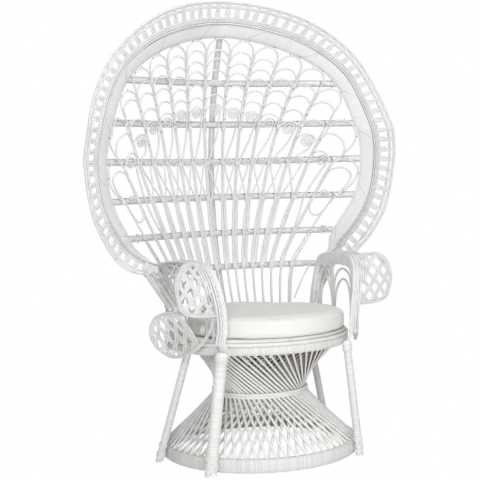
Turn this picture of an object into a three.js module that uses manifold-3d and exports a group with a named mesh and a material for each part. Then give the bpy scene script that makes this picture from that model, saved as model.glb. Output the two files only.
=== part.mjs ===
// Rattan peacock chair: an hourglass base of crossed canes, a ring seat with a loose cushion, two rolled lattice
// arms and a dished fan back inside a lace rim. Millimetres, +Z up, the chair faces -Y, and X = 0 is its middle.
import * as THREE from 'three';
import { mergeVertices } from 'three/addons/utils/BufferGeometryUtils.js';
import Module from 'manifold-3d';

const wasm = await Module();
wasm.setup();

// Driving sizes
const GAP = 0.4;
const FOOT_FLARE = 25;
const FOOT_WALL = 22;
const FOOT_H = 46;
const SEAT_R = 297;
const SEAT_WALL = 24;
const SEAT_BOTTOM = 356;
const SEAT_RING_H = 40;
const DECK_T = 10;
const BEAD_R = 5;
const WAIST_R = 146;
const WAIST_Z = 205;
const BASE_CANES = 60;
const BASE_CANE_R = 4.6;
const LEG_R = 15;
const CUSHION_INSET = 37;
const CUSHION_BACK_GAP = 5.5;
const CUSHION_H = 64;
const CUSHION_CROWN = 9;
const BACK_HALF_W = 558;
const BACK_H = 1094;
const BACK_BEHIND = 6;
const BACK_LEAN = 539;
const BACK_DISH = 380;
const RIM_BAND_W = 44;
const RIM_BAND_T = 9;
const RIM_HOOP_R = 8.5;
const RIM_STEPS = 44;
const LACE_OPENINGS = 68;
const LACE_REACH = 40 / RIM_STEPS;
const RAIL_R = 9.5;
const SPINE_R = 10.5;
const RIB_R = 5;
const RIB_FOOT_X = 19;
const RIB_FOOT_PITCH = 28.7;
const CURL_R = 3.4;
const ARCH_PITCH = 38;
const ARM_H = 250;
const ARM_BAND_T = 14;
const ARM_CANE_R = 4;
const ARM_HOOP_R = 7;
const SCROLL_R = 6;
const STRUT_R = 8;
const TAIL_PULL = 82;
const TAIL_GAP = 4.2;

// Levels and radii that follow from them
const SEAT_TOP = SEAT_BOTTOM + SEAT_RING_H;
const DECK_TOP = SEAT_TOP + GAP + DECK_T;
const BACK_Z0 = DECK_TOP;
const FOOT_R = SEAT_R + FOOT_FLARE;
const BACK_DEEP = SEAT_R + BACK_BEHIND;
const RIB_Y = -RIB_R - 0.4;
const CUSHION_R = SEAT_R - CUSHION_INSET;
const CUSHION_Y = backY(0, BACK_Z0) + RIB_Y - RIB_R - CUSHION_BACK_GAP - CUSHION_R;
const RAIL_Y = RAIL_R + 1.8;
const SPINE_Y = RAIL_Y + RAIL_R + 0.3 + SPINE_R;

// The arms and the fan are drawn for these sizes and follow the ones above
const DRAWN_SEAT_R = 297;
const DRAWN_ARM_H = 250;
const DRAWN_BACK = { halfWidth: 558, height: 1094 };

const white = () => new THREE.MeshStandardMaterial({ color: 0xf1f0ea, roughness: 0.5, metalness: 0 });
const linen = () => new THREE.MeshStandardMaterial({ color: 0xe6e5dd, roughness: 0.92, metalness: 0 });
const chair = new THREE.Group();

function add(name, geometry, material = white()) {
  const mesh = new THREE.Mesh(geometry, material);
  mesh.name = name;
  chair.add(mesh);
  return mesh;
}

// Solids
function solid(geometry) {
  const bare = geometry.clone();
  bare.deleteAttribute('normal');
  bare.deleteAttribute('uv');
  const merged = mergeVertices(bare, 1e-3);
  return new wasm.Manifold(new wasm.Mesh({
    numProp: 3,
    vertProperties: new Float32Array(merged.attributes.position.array),
    triVerts: new Uint32Array(merged.index.array),
  }));
}

function skin(body) {
  const mesh = body.getMesh();
  const geometry = new THREE.BufferGeometry();
  geometry.setAttribute('position', new THREE.BufferAttribute(new Float32Array(mesh.vertProperties), 3));
  geometry.setIndex(new THREE.BufferAttribute(new Uint32Array(mesh.triVerts), 1));
  geometry.computeVertexNormals();
  return geometry;
}

const joined = (geometries) => geometries.map(solid).reduce((sum, next) => sum.add(next));
const fuse = (geometries) => skin(joined(geometries));

function addPair(name, geometries) {
  const right = joined(geometries);
  add(`${name}_right`, skin(right));
  add(`${name}_left`, skin(right.mirror([1, 0, 0])));
}

function polygon(radius, sides) {
  const corners = Array.from({ length: sides }, (_, k) => {
    const angle = (2 * Math.PI * (k + 0.5)) / sides;
    return new THREE.Vector2(radius * Math.cos(angle), radius * Math.sin(angle));
  });
  return new THREE.Shape(corners);
}

// A cane's route, straight from each point to the next
class BentRoute extends THREE.Curve {
  constructor(points) {
    super();
    this.points = points;
  }

  getPoint(t, target = new THREE.Vector3()) {
    const at = t * (this.points.length - 1);
    const i = Math.min(Math.floor(at), this.points.length - 2);
    return target.copy(this.points[i]).lerp(this.points[i + 1], at - i);
  }

  getUtoTmapping(u) {
    return u;
  }
}

function cane(points, radius, sides) {
  return new THREE.ExtrudeGeometry(polygon(radius, sides), {
    steps: points.length - 1,
    extrudePath: new BentRoute(points),
  });
}

function between(from, to, stretches) {
  return Array.from({ length: stretches + 1 }, (_, k) => from.clone().lerp(to, k / stretches));
}

function smooth(points, stretches) {
  return new THREE.CatmullRomCurve3(points, false, 'centripetal').getSpacedPoints(stretches);
}

function ring(profile, segments) {
  const closed = [...profile, profile[0]].map(([r, z]) => new THREE.Vector2(r, z));
  return new THREE.LatheGeometry(closed, segments).rotateX(Math.PI / 2);
}

function polar(radius, angle, z) {
  return new THREE.Vector3(radius * Math.sin(angle), -radius * Math.cos(angle), z);
}

// The back's dish: how far back the woven surface lies at each width and height
function backY(x, z) {
  const up = (z - BACK_Z0) / BACK_H;
  const out = x / BACK_HALF_W;
  const curl = 1 + 0.5 * Math.max(0, up - 0.5);
  const flare = 0.22 + 1.3 * Math.max(0, up - 0.6);
  return BACK_DEEP - BACK_LEAN * (up - 0.42) ** 2 - BACK_DISH * curl * (out ** 2 - flare * out ** 4);
}

// The rim's tails leave the dish and come forward to meet the arms
function rimY(x, z) {
  const inward = THREE.MathUtils.clamp((0.8 - Math.abs(x) / BACK_HALF_W) / 0.26, 0, 1);
  const low = 1 - THREE.MathUtils.smoothstep((z - BACK_Z0) / BACK_H, 0.215, 0.262);
  return backY(x, z) - TAIL_PULL * inward * low;
}

function bendToBack(geometry, depth = backY) {
  const position = geometry.attributes.position;
  for (let i = 0; i < position.count; i += 1) {
    position.setY(i, position.getY(i) + depth(position.getX(i), position.getZ(i)));
  }
  geometry.computeVertexNormals();
  return geometry;
}

const onBack = (out, up) => new THREE.Vector2(out * BACK_HALF_W, BACK_Z0 + up * BACK_H);
const inFront = (x, z, y) => new THREE.Vector3(x, y, z);

// Base: foot ring, two crossing families of canes tied at the waist, four bound legs
add('foot_ring', ring([
  [FOOT_R - FOOT_WALL, 4], [FOOT_R - 4, 4], [FOOT_R, 9], [FOOT_R, FOOT_H - 5], [FOOT_R - 4, FOOT_H],
  [FOOT_R - FOOT_WALL, FOOT_H],
], 36));

// One family of canes: each is straight from the foot ring to the waist and from there to a collar under the seat
function baseFamily(hand, inset) {
  const footR = FOOT_R - FOOT_WALL - GAP - BASE_CANE_R - inset.foot;
  const waistR = WAIST_R - inset.waist;
  const seatR = 0.996 * (SEAT_R - SEAT_WALL) - GAP - 5 - inset.seat;
  const footTurn = Math.acos(waistR / footR);
  const seatTurn = Math.acos(waistR / seatR);
  const collar = ring([
    [seatR - 5, SEAT_TOP - 14], [seatR + 5, SEAT_TOP - 14], [seatR + 5, SEAT_TOP - 2], [seatR - 5, SEAT_TOP - 2],
  ], 30);
  const canes = Array.from({ length: BASE_CANES }, (_, k) => {
    const angle = (2 * Math.PI * k) / BASE_CANES;
    return cane([
      polar(footR, angle + hand * footTurn, 20), polar(waistR, angle, WAIST_Z),
      polar(seatR, angle - hand * seatTurn, SEAT_TOP - 8),
    ], BASE_CANE_R, 3);
  });
  return fuse([collar, ...canes]);
}

const INNER_INSET = { foot: 17, waist: 11, seat: 18 };
add('base_canes_outer', baseFamily(1, { foot: 0, waist: 0, seat: 0 }));
add('base_canes_inner', baseFamily(-1, INNER_INSET));
const hoopR = (WAIST_R + BASE_CANE_R + 2 * GAP) / Math.cos(Math.PI / 30);
add('waist_hoop', ring([
  [hoopR, WAIST_Z - 9], [hoopR + 7, WAIST_Z - 9], [hoopR + 9, WAIST_Z - 5], [hoopR + 7, WAIST_Z],
  [hoopR + 9, WAIST_Z + 5], [hoopR + 7, WAIST_Z + 9], [hoopR, WAIST_Z + 9],
], 30));
const innerHoopR = WAIST_R - INNER_INSET.waist - BASE_CANE_R - GAP;
add('waist_hoop_inner', ring([
  [innerHoopR - 9, WAIST_Z - 6], [innerHoopR, WAIST_Z - 6], [innerHoopR, WAIST_Z + 6], [innerHoopR - 9, WAIST_Z + 6],
], 28));

// A bound leg from its foot outside the foot ring up to its place at the seat ring
function leg(name, footAngle, topAngle, topR, topZ, radius) {
  const start = FOOT_R + radius + 2.4;
  const footR = start + (1.2 * FOOT_H * (start - topR)) / topZ;
  const foot = polar(footR, footAngle, 0);
  const top = polar(topR, topAngle, topZ);
  const length = foot.distanceTo(top);
  const profile = [
    [0, 0], [radius, 0], [radius + 1.5, 9], [radius + 1.5, 34], [radius, 38], [radius, length - 16],
    [radius + 2, length - 12], [radius + 2, length - 3], [radius, length], [0, length],
  ].map(([r, z]) => new THREE.Vector2(r, z));
  const axis = top.clone().sub(foot).normalize();
  const geometry = new THREE.LatheGeometry(profile, 9).rotateX(Math.PI / 2);
  geometry.applyQuaternion(new THREE.Quaternion().setFromUnitVectors(new THREE.Vector3(0, 0, 1), axis));
  geometry.translate(foot.x, foot.y, foot.z);
  const position = geometry.attributes.position;
  for (let i = 0; i < position.count; i += 1) {
    if (position.getZ(i) < 4.6) position.setZ(i, 0);
  }
  return add(name, geometry);
}

// Each leg's foot and top as degrees round from the front, to the right when positive, and its thickness
const LEGS = {
  front_right: { foot: 44, top: 40, thick: 0.8 },
  front_left: { foot: -51, top: -43, thick: 1.05 },
  rear_right: { foot: 114, top: 117, thick: 0.8 },
  rear_left: { foot: -95, top: -84, thick: 0.8 },
};
Object.entries(LEGS).forEach(([place, { foot, top, thick }]) => {
  const [footAngle, topAngle] = [foot, top].map((turn) => THREE.MathUtils.degToRad(turn));
  const radius = thick * LEG_R;
  const front = place.startsWith('front');
  const topR = front ? SEAT_R + radius + 1.7 : SEAT_R - radius - 18;
  leg(`leg_${place}`, footAngle, topAngle, topR, front ? SEAT_TOP - 10 : SEAT_BOTTOM - 3.3, radius);
});

// Seat: bound ring, woven deck, bead cane and the loose cushion
add('seat_ring', ring([
  [SEAT_R - SEAT_WALL, SEAT_BOTTOM], [SEAT_R - 3, SEAT_BOTTOM], [SEAT_R, SEAT_BOTTOM + 4],
  [SEAT_R, SEAT_TOP], [SEAT_R - SEAT_WALL, SEAT_TOP],
], 36));
const beadRing = SEAT_R - BEAD_R - 3;
add('seat_bead', new THREE.TorusGeometry(beadRing, BEAD_R, 4, 36).translate(0, 0, SEAT_TOP + GAP + BEAD_R));
const deckR = beadRing - BEAD_R - GAP;
const deckProfile = [[0, SEAT_TOP + GAP], [deckR, SEAT_TOP + GAP], [deckR, DECK_TOP], [0, DECK_TOP]];
add('seat_deck', new THREE.LatheGeometry(deckProfile.map(([r, z]) => new THREE.Vector2(r, z)), 36).rotateX(Math.PI / 2));

function cushion() {
  const low = DECK_TOP + GAP;
  const high = low + CUSHION_H;
  const profile = [
    [0, low], [CUSHION_R - 26, low], [CUSHION_R - 9, low + 4], [CUSHION_R - 1, low + 11], [CUSHION_R - 3, low + 24],
    [CUSHION_R - 3, high - 24], [CUSHION_R - 1, high - 11], [CUSHION_R - 10, high - 3], [CUSHION_R - 40, high + 1],
    [0.6 * CUSHION_R, high + 0.6 * CUSHION_CROWN], [0.3 * CUSHION_R, high + 0.9 * CUSHION_CROWN],
    [0, high + CUSHION_CROWN],
  ].map(([r, z]) => new THREE.Vector2(r, z));
  return new THREE.LatheGeometry(profile, 32).rotateX(Math.PI / 2).translate(0, CUSHION_Y, 0);
}
add('cushion', cushion(), linen());

// Rim: its inner and outer edges from the tail beside the arm up to the top, as shares of the back's size
const tailOut = ((armOut(95, 212) * SEAT_R) / DRAWN_SEAT_R + ARM_BAND_T / 2 + TAIL_GAP) / BACK_HALF_W;
const innerEdge = new THREE.SplineCurve([
  [tailOut, 0.216], [0.667, 0.280], [0.796, 0.392], [0.830, 0.508], [0.785, 0.622], [0.640, 0.754], [0.358, 0.852],
  [0, 0.895], [-0.358, 0.852],
].map(([out, up]) => onBack(out, up)));
const outerEdge = new THREE.SplineCurve([
  [tailOut, 0.176], [0.645, 0.176], [0.720, 0.187], [0.801, 0.214], [0.887, 0.270], [0.959, 0.349], [0.996, 0.452], [1, 0.543],
  [0.950, 0.680], [0.780, 0.812], [0.538, 0.929], [0.269, 0.985], [0, 1], [-0.269, 0.985],
].map(([out, up]) => onBack(out, up)));

function half(curve) {
  const fine = curve.getPoints(400).filter((p) => p.x >= 0);
  const lengths = [0];
  for (let i = 1; i < fine.length; i += 1) lengths.push(lengths[i - 1] + fine[i].distanceTo(fine[i - 1]));
  const total = lengths[lengths.length - 1];
  return (u) => {
    const target = u * total;
    let i = 1;
    while (i < lengths.length - 1 && lengths[i] < target) i += 1;
    const share = (target - lengths[i - 1]) / (lengths[i] - lengths[i - 1]);
    return fine[i - 1].clone().lerp(fine[i], share);
  };
}
const innerAt = half(innerEdge);
const outerAt = half(outerEdge);

// A point on the rim: u runs -1 (right tail) through 0 (top) to 1 (left tail); d is mm in from the inner edge,
// or out from the outer edge when negative
function rimAt(u, d) {
  const inner = innerAt(1 - Math.abs(u));
  const outer = outerAt(1 - Math.abs(u));
  const width = inner.distanceTo(outer);
  const band = Math.min(RIM_BAND_W, 0.4 * width);
  const share = d < 0 ? 1 + d / width : (Math.min(d, band) + Math.max(d - RIM_BAND_W, 0)) / width;
  const point = inner.lerp(outer, share);
  if (u > 0) point.x = -point.x;
  return point;
}

const along = (count, reach = 1) => Array.from({ length: count + 1 }, (_, k) => reach * (-1 + (2 * k) / count));

function rimStrip(dIn, dOut, thickness, holes, reach) {
  const us = along(RIM_STEPS * reach, reach);
  const edge = [...us.map((u) => rimAt(u, dOut)), ...us.slice().reverse().map((u) => rimAt(u, dIn))];
  const shape = new THREE.Shape(edge);
  shape.holes = holes;
  const strip = new THREE.ExtrudeGeometry(shape, { depth: thickness, bevelEnabled: false, steps: 1 });
  strip.rotateX(Math.PI / 2).translate(0, -0.6, 0);
  return bendToBack(strip, rimY);
}

const laceIn = RIM_BAND_W + GAP;
const laceOut = -(2 * RIM_HOOP_R + GAP + 0.4);
const laceHoles = Array.from({ length: LACE_OPENINGS }, (_, k) => {
  const mid = LACE_REACH * (-1 + (2 * (k + 0.5)) / LACE_OPENINGS);
  const halfStep = (0.6 * LACE_REACH) / LACE_OPENINGS;
  const corner = (du, near) => {
    const a = rimAt(mid + du, laceIn);
    const b = rimAt(mid + du, laceOut);
    return a.lerp(b, near);
  };
  return new THREE.Path([
    corner(-0.7 * halfStep, 0.16), corner(0.7 * halfStep, 0.16), corner(halfStep, 0.84), corner(-halfStep, 0.84),
  ]);
});
add('rim_band', rimStrip(0, RIM_BAND_W, RIM_BAND_T, [], 1));
add('rim_lace', rimStrip(laceIn, laceOut, RIM_BAND_T - 1, laceHoles, LACE_REACH));
const rimHoop = along(RIM_STEPS).map((u) => rimAt(u, -RIM_HOOP_R)).map((p) => inFront(p.x, p.y, -0.6 - RIM_BAND_T / 2));
add('rim_hoop', bendToBack(cane(rimHoop, RIM_HOOP_R, 5), rimY));

// Rails across the back, passing behind the rim's band, and the spine post behind them
const RAILS = [[0.640, 0.750], [0.785, 0.622], [0.830, 0.508], [0.796, 0.392], [0.667, 0.280], [tailOut + 0.035, 0.172]];
const railZ = RAILS.map(([, up]) => onBack(0, up).y);
RAILS.forEach(([out], k) => {
  const reach = out * BACK_HALF_W + (k < 5 ? 0.28 * RIM_BAND_W : 0);
  const route = between(inFront(-reach, railZ[k], RAIL_Y), inFront(reach, railZ[k], RAIL_Y), 10);
  add(`rail_${k + 1}`, bendToBack(cane(route, RAIL_R, 5)));
});
const spineTop = onBack(0, 0.9).y;
const spine = between(inFront(0, DECK_TOP + GAP, SPINE_Y), inFront(0, spineTop, SPINE_Y), 8);
add('spine_post', bendToBack(cane(spine, SPINE_R, 7)));

// Ribs of the fan, counted from the left: they stand nearly upright on the seat, bend out at a knee and run straight to the rim
const RIB_KNEE = { low: 98.6, high: 233.6 };
const ribCount = (k) => (k < 8 ? 7 - k : k - 8);
const ribLean = (k) => 0.0265 * ribCount(k);
const ribSpread = (k) => 0.035 + 0.058 * ribCount(k) - 0.0005 * ribCount(k) ** 2 + 0.0007 * ribCount(k) ** 3;
function ribX(k, z) {
  const bend = RIB_KNEE.high - RIB_KNEE.low;
  const up = ((z - BACK_Z0) / BACK_H) * DRAWN_BACK.height - RIB_KNEE.low;
  const share = THREE.MathUtils.clamp(up / bend, 0, 1);
  const foot = RIB_FOOT_X + RIB_FOOT_PITCH * ribCount(k) + ribLean(k) * Math.min(up, bend);
  const spread = (bend * (ribSpread(k) - ribLean(k)) * share ** 3) / 3 + ribSpread(k) * Math.max(up - bend, 0);
  return Math.sign(k - 7.5) * (foot + spread) * (BACK_HALF_W / DRAWN_BACK.halfWidth);
}
const innerLine = [];
for (let k = 0; k <= 160; k += 1) innerLine.push(innerAt(k / 160));
const clearOfRim = (x, z) => innerLine.reduce((least, p) => Math.min(least, Math.hypot(p.x - Math.abs(x), p.y - z)), 1e9);
function reachUp(xAt, from, margin) {
  let z = from;
  while (clearOfRim(xAt(z), z) > margin) z += 1;
  return z;
}

const CURL_ROW = [0.671, 0.667, 0.651, 0.634, 0.612, 0.571, 0.508, 0.395];
const CURL_ARCHES = [6, 6, 6, 5, 4, 3, 3, 2];
const CLEAR = 1.25 * (RIB_R + CURL_R + GAP);
const BOUND = 2;

function rimHalf(z) {
  for (let i = innerLine.length - 1; i > 0; i -= 1) {
    const [low, high] = [innerLine[i - 1], innerLine[i]];
    if ((low.y - z) * (high.y - z) <= 0 && low.y < high.y) {
      return low.x + ((high.x - low.x) * (z - low.y)) / (high.y - low.y);
    }
  }
  return 0;
}

// Keeps a cane's point inside the rim's band
function within(x, z) {
  const limit = Math.max(rimHalf(z) - CURL_R - 3, 0);
  return inFront(THREE.MathUtils.clamp(x, -limit, limit), z, RIB_Y);
}

// The two sides of the gap to the right of rib k: the rib nearer the middle carries the gap's canes
function gapOf(k) {
  const carrier = k < 7 ? k + 1 : k;
  return {
    carrier,
    left: (z) => ribX(k, z) + (carrier === k ? BOUND : CLEAR),
    right: (z) => ribX(k + 1, z) - (carrier === k ? CLEAR : BOUND),
    middle: (z) => 0.5 * (ribX(k, z) + ribX(k + 1, z)),
    span: (z) => ribX(k + 1, z) - ribX(k, z),
  };
}

function arch(gap, crown) {
  const drop = 0.8 * Math.min(gap.span(crown), 60);
  const foot = crown - drop;
  const shoulder = crown - 0.3 * drop;
  const inset = 0.12 * gap.span(shoulder);
  const route = [
    [gap.left(foot), foot], [gap.middle(shoulder) - 0.5 * gap.span(shoulder) + inset + RIB_R, shoulder],
    [gap.middle(crown), crown], [gap.middle(shoulder) + 0.5 * gap.span(shoulder) - inset - RIB_R, shoulder],
    [gap.right(foot), foot],
  ];
  return cane(route.map(([x, z]) => within(x, z)), CURL_R, 3);
}

// A spiral whose tail runs on through the points given
function curl(x, z, radius, tail) {
  const turns = 1.25;
  const route = Array.from({ length: 9 }, (_, i) => {
    const share = i / 8;
    const angle = 2 * Math.PI * turns * (1 - share);
    const r = radius * (0.3 + 0.7 * share);
    return inFront(x + r * Math.cos(angle), z + r * Math.sin(angle), RIB_Y);
  });
  return cane([...route, ...tail.map(([tx, tz]) => inFront(tx, tz, RIB_Y))], CURL_R, 3);
}

const fan = Array.from({ length: 16 }, (_, k) => {
  const top = reachUp((z) => ribX(k, z), railZ[4], RIB_R + 2);
  const foot = DECK_TOP + GAP + 0.85 * RIB_R * Math.sin(Math.atan(ribLean(k)));
  const bends = [0, RIB_KNEE.low, 0.5 * (RIB_KNEE.low + RIB_KNEE.high), RIB_KNEE.high].map(
    (up) => Math.max(foot, BACK_Z0 + (up / DRAWN_BACK.height) * BACK_H),
  );
  const knee = bends[3];
  const heights = [...bends, ...[0.25, 0.5, 0.75, 1].map((share) => knee + (top - knee) * share)];
  return [cane(heights.map((z) => inFront(ribX(k, z), z, RIB_Y)), RIB_R, 4)];
});

for (let k = 0; k < 15; k += 1) {
  const m = Math.abs(k - 7);
  const gap = gapOf(k);
  const pieces = fan[gap.carrier];
  const outerTop = reachUp((z) => ribX(k < 7 ? k : k + 1, z), railZ[4], RIB_R + 2);
  const crownTop = Math.min(reachUp(gap.middle, railZ[4], CURL_R + 3), outerTop + 0.42 * gap.span(outerTop));
  for (let j = 0; j < CURL_ARCHES[m]; j += 1) pieces.push(arch(gap, crownTop - ARCH_PITCH * j));
  const curlZ = onBack(0, CURL_ROW[m]).y;
  const curlR = Math.min(0.34 * gap.span(curlZ), 19);
  const [crossZ, endZ] = m < 6 ? [railZ[2], railZ[3]] : m < 7 ? [railZ[3], railZ[4]] : [railZ[4] + 60, railZ[4]];
  const sweep = [gap.middle(0.55 * curlZ + 0.45 * crossZ), 0.55 * curlZ + 0.45 * crossZ];
  pieces.push(curl(gap.middle(curlZ), curlZ, curlR, [sweep, [gap.left(crossZ), crossZ], [gap.right(endZ), endZ]]));
  if (m < 6) {
    const rowR = Math.min(0.26 * gap.span(crossZ), 15);
    pieces.push(curl(gap.middle(crossZ) + 3, crossZ, rowR, [[gap.left(endZ), endZ]]));
  }
}
fan.forEach((pieces, k) => {
  add(k < 8 ? `rib_left_${8 - k}` : `rib_right_${k - 7}`, bendToBack(fuse(pieces)));
});

// Arms, drawn for the right side: x out, y back, z up from the seat ring's top
const toArm = (x, y, z) => new THREE.Vector3(
  (x * SEAT_R) / DRAWN_SEAT_R, (y * SEAT_R) / DRAWN_SEAT_R, SEAT_TOP + (z * ARM_H) / DRAWN_ARM_H,
);

// The upright sheet that an arm's arch and panel lie in
function armOut(y, z) {
  const along = y + 75;
  const low = 282 - (along < 0 ? 0.0022 : 0.001) * along ** 2;
  const high = 270 + 0.15 * along;
  return low + ((high - low) * z) / DRAWN_ARM_H;
}
const onSheet = (y, z) => toArm(armOut(y, z), y, z);

const archOuter = new THREE.SplineCurve([
  [95, 11], [103, 100], [99, 175], [92, 212], [60, 236], [-60, 250], [-150, 249], [-215, 236], [-250, 194], [-262, 124],
  [-256, 44], [-240, -7.5],
].map(([y, z]) => new THREE.Vector2(y, z)));
const archInner = new THREE.SplineCurve([
  [-220, -7.5], [-236, 44], [-240, 124], [-222, 174], [-190, 200], [-130, 206], [-60, 206], [45, 198], [72, 179], [80, 144],
  [76, 11],
].map(([y, z]) => new THREE.Vector2(y, z)));

function armArch() {
  const outline = [...archOuter.getSpacedPoints(18), ...archInner.getSpacedPoints(16)];
  const band = new THREE.ExtrudeGeometry(new THREE.Shape(outline), { depth: ARM_BAND_T, bevelEnabled: false, steps: 1 });
  const position = band.attributes.position;
  for (let i = 0; i < position.count; i += 1) {
    const point = onSheet(position.getX(i), position.getY(i));
    position.setXYZ(i, point.x + position.getZ(i) - ARM_BAND_T / 2, point.y, point.z);
  }
  return band;
}
addPair('arm_arch', [armArch()]);

const panelLine = (route, stretches) => cane(smooth(route.map(([y, z]) => onSheet(y, z)), stretches), ARM_CANE_R, 3);
addPair('arm_panel', [
  cane([onSheet(-75, 11.2), onSheet(-75, 205)], ARM_CANE_R + 1, 4),
  panelLine([[-75, 104], [-62, 162], [-30, 188], [5, 190], [40, 174], [58, 132], [60, 72], [58, 15]], 9),
  panelLine([[-75, 44], [-55, 112], [-25, 143], [5, 147], [29, 125], [39, 72], [38, 15]], 8),
  panelLine([[-75, 104], [-88, 162], [-120, 188], [-155, 190], [-190, 172], [-216, 130], [-219, 72], [-214, 18]], 9),
  panelLine([[-75, 44], [-95, 112], [-125, 143], [-155, 147], [-181, 125], [-195, 72], [-194, 18]], 8),
]);

// The front hoop of the lattice roll, and the roll as it narrows back to the rim's tail
const hoopRoute = [
  [261, -205, 226], [292, -222, 244], [335, -238, 240], [362, -248, 207], [366, -251, 160], [354, -251, 116], [320, -251, 95],
  [275, -250, 92], [236, -249, 92],
];
const hoopCurve = new THREE.CatmullRomCurve3(hoopRoute.map((p) => toArm(...p)), false, 'centripetal');
addPair('arm_hoop', [cane(hoopCurve.getSpacedPoints(16), ARM_HOOP_R, 5)]);

const rollMiddle = toArm(305, -235, 164);
const rollTip = toArm(302, 80, 222);
function onRoll(around, back) {
  const front = hoopCurve.getPointAt(THREE.MathUtils.clamp(around, 0.02, 0.8));
  const rear = front.clone().sub(rollMiddle).multiplyScalar(0.15).add(rollTip);
  const point = front.lerp(rear, back);
  const y = (point.y * DRAWN_SEAT_R) / SEAT_R;
  const z = ((point.z - SEAT_TOP) * DRAWN_ARM_H) / ARM_H;
  const sheet = onSheet(y, z).x + ARM_BAND_T / 2 + 2 * CURL_R;
  point.x = Math.max(point.x, sheet);
  return point;
}
const NET_BACK = [0.028, 0.2, 0.42, 0.8];
const netCane = (start, turn) => cane(NET_BACK.map((back) => onRoll(start + turn * back, back)), CURL_R, 3);
addPair('arm_net', [
  ...[0.03, 0.23, 0.43, 0.63].map((start) => netCane(start, 0.45)),
  ...[0.2, 0.4, 0.6, 0.8].map((start) => netCane(start, -0.45)),
]);

// The low scroll beside the seat, closed by a shallow bowl of crossed canes
const scrollRoute = [
  [249, -236, 84], [264, -190, 29], [292, -140, -18], [335, -79, -37], [368, -38, -13], [381, -19, 32], [372, -32, 76],
  [345, -75, 94], [300, -150, 91], [264, -212, 103], [250, -236, 108],
];
const scrollCurve = new THREE.CatmullRomCurve3(scrollRoute.map((p) => toArm(...p)), false, 'centripetal');
function bowlCane(from, to) {
  const [low, high] = [scrollCurve.getPointAt(from), scrollCurve.getPointAt(to)];
  const middle = low.clone().lerp(high, 0.5).add(new THREE.Vector3(-13, 9, 0));
  return cane(new THREE.QuadraticBezierCurve3(low, middle, high).getPoints(4), CURL_R, 3);
}
addPair('arm_scroll', [
  cane(scrollCurve.getSpacedPoints(22), SCROLL_R, 5),
  bowlCane(0.24, 0.74), bowlCane(0.32, 0.67), bowlCane(0.4, 0.6),
  bowlCane(0.32, 0.81), bowlCane(0.4, 0.74), bowlCane(0.47, 0.67),
]);

// Bound struts from under the rim's tail down to the top of the scroll
// share along the tail, share along the scroll, and how far the foot is let down onto the scroll
const STRUTS = [[0.055, 0.69, 2.2], [0.03, 0.735, 1.2], [0.006, 0.78, 0.4]];
const strutCanes = STRUTS.map(([tail, scroll, down]) => {
  const edge = outerAt(tail);
  const top = new THREE.Vector3(edge.x, rimY(edge.x, edge.y) - 0.6 - RIM_BAND_T / 2, edge.y - STRUT_R);
  const foot = scrollCurve.getPointAt(scroll).add(new THREE.Vector3(0, 0, SCROLL_R + STRUT_R - down));
  return cane([top, foot], STRUT_R, 6);
});
strutCanes.forEach((strut, k) => addPair(`arm_strut_${k + 1}`, [strut]));

// The stored frame: its origin is on the floor under the middle of the whole chair
const middle = new THREE.Box3().setFromObject(chair).getCenter(new THREE.Vector3());
chair.children.forEach((piece) => piece.geometry.translate(-middle.x, -middle.y, 0));

export default chair;
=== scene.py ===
import bisect
import math
import random

import bpy
from mathutils import Matrix, Vector


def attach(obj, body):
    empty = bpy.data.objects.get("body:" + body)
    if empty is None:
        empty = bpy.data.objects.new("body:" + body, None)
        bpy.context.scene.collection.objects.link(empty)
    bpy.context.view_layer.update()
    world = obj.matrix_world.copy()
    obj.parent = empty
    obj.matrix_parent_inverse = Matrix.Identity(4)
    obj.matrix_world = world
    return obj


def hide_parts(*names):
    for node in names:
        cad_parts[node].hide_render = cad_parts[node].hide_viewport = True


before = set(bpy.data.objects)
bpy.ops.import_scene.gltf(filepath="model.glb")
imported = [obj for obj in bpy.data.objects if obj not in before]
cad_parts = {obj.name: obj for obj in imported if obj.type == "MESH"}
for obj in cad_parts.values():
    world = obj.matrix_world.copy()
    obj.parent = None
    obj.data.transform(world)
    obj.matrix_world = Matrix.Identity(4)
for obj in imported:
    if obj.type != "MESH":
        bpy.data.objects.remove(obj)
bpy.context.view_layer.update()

chance = random.Random(11)

# The chair's sizes in millimetres, measured from the floor below the middle of the seat ring
MM = 0.001
# Shift along y from there to the frame's origin
FRAME_BACK = -8.805
FOOT_R = 322
FOOT_WALL = 22
FOOT_H = 46
SEAT_R = 302
SEAT_WALL = 24
SEAT_BOTTOM = 356
SEAT_TOP = 396
DECK_TOP = 406.4
BEAD_R = 5
WAIST_R = 146
WAIST_Z = 205
BASE_CANES = 60
BASE_CANE_R = 4.3
LEG_R = 15
CUSHION_R = 260
CUSHION_Y = -68
CUSHION_H = 64
CUSHION_WIDE = 1.055
CUSHION_REAR_LIFT = 11
TO_REAR_LEFT = Vector((-0.6, 0.8, 0))
CUSHION_SIDEWAYS = 5
BACK_HALF_W = 558
BACK_H = 1094
BACK_DEEP = 303
BACK_LEAN = 539
BACK_DISH = 380
RIM_BAND_W = 44
RIM_BAND_T = 9
RAIL_R = 9.5
RAIL_Y = 11.3
SPINE_R = 10.5
SPINE_Y = 31.6
RIB_Y = -5.4
FAN_CANE_R = 2.95
# How far the dark nail heads, which also stand as painted shade of the gaps between rib and rail, lie
# beside each rib
RAIL_NAIL_ASIDE = 9
TAIL_PULL = 82
TAIL_OUT = 0.538
# One turn of the peel on poles and hoops, and one of the finer peel on the rim's band
PEEL_TURN = 5.0
BAND_TURN = 4.2
FORWARD = Vector((0, -1, 0))


def mix(a, b, share):
    return a + (b - a) * share


def clamp(value, low, high):
    return max(low, min(high, value))


def smoothstep(value, low, high):
    t = clamp((value - low) / (high - low), 0, 1)
    return t * t * (3 - 2 * t)


def polar(radius, angle, z):
    return Vector((radius * math.sin(angle), -radius * math.cos(angle), z))


def spoke(a, b, angle):
    """A step of length one away from an axis, at an angle between two cross directions."""
    return a * math.cos(angle) + b * math.sin(angle)


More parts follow.
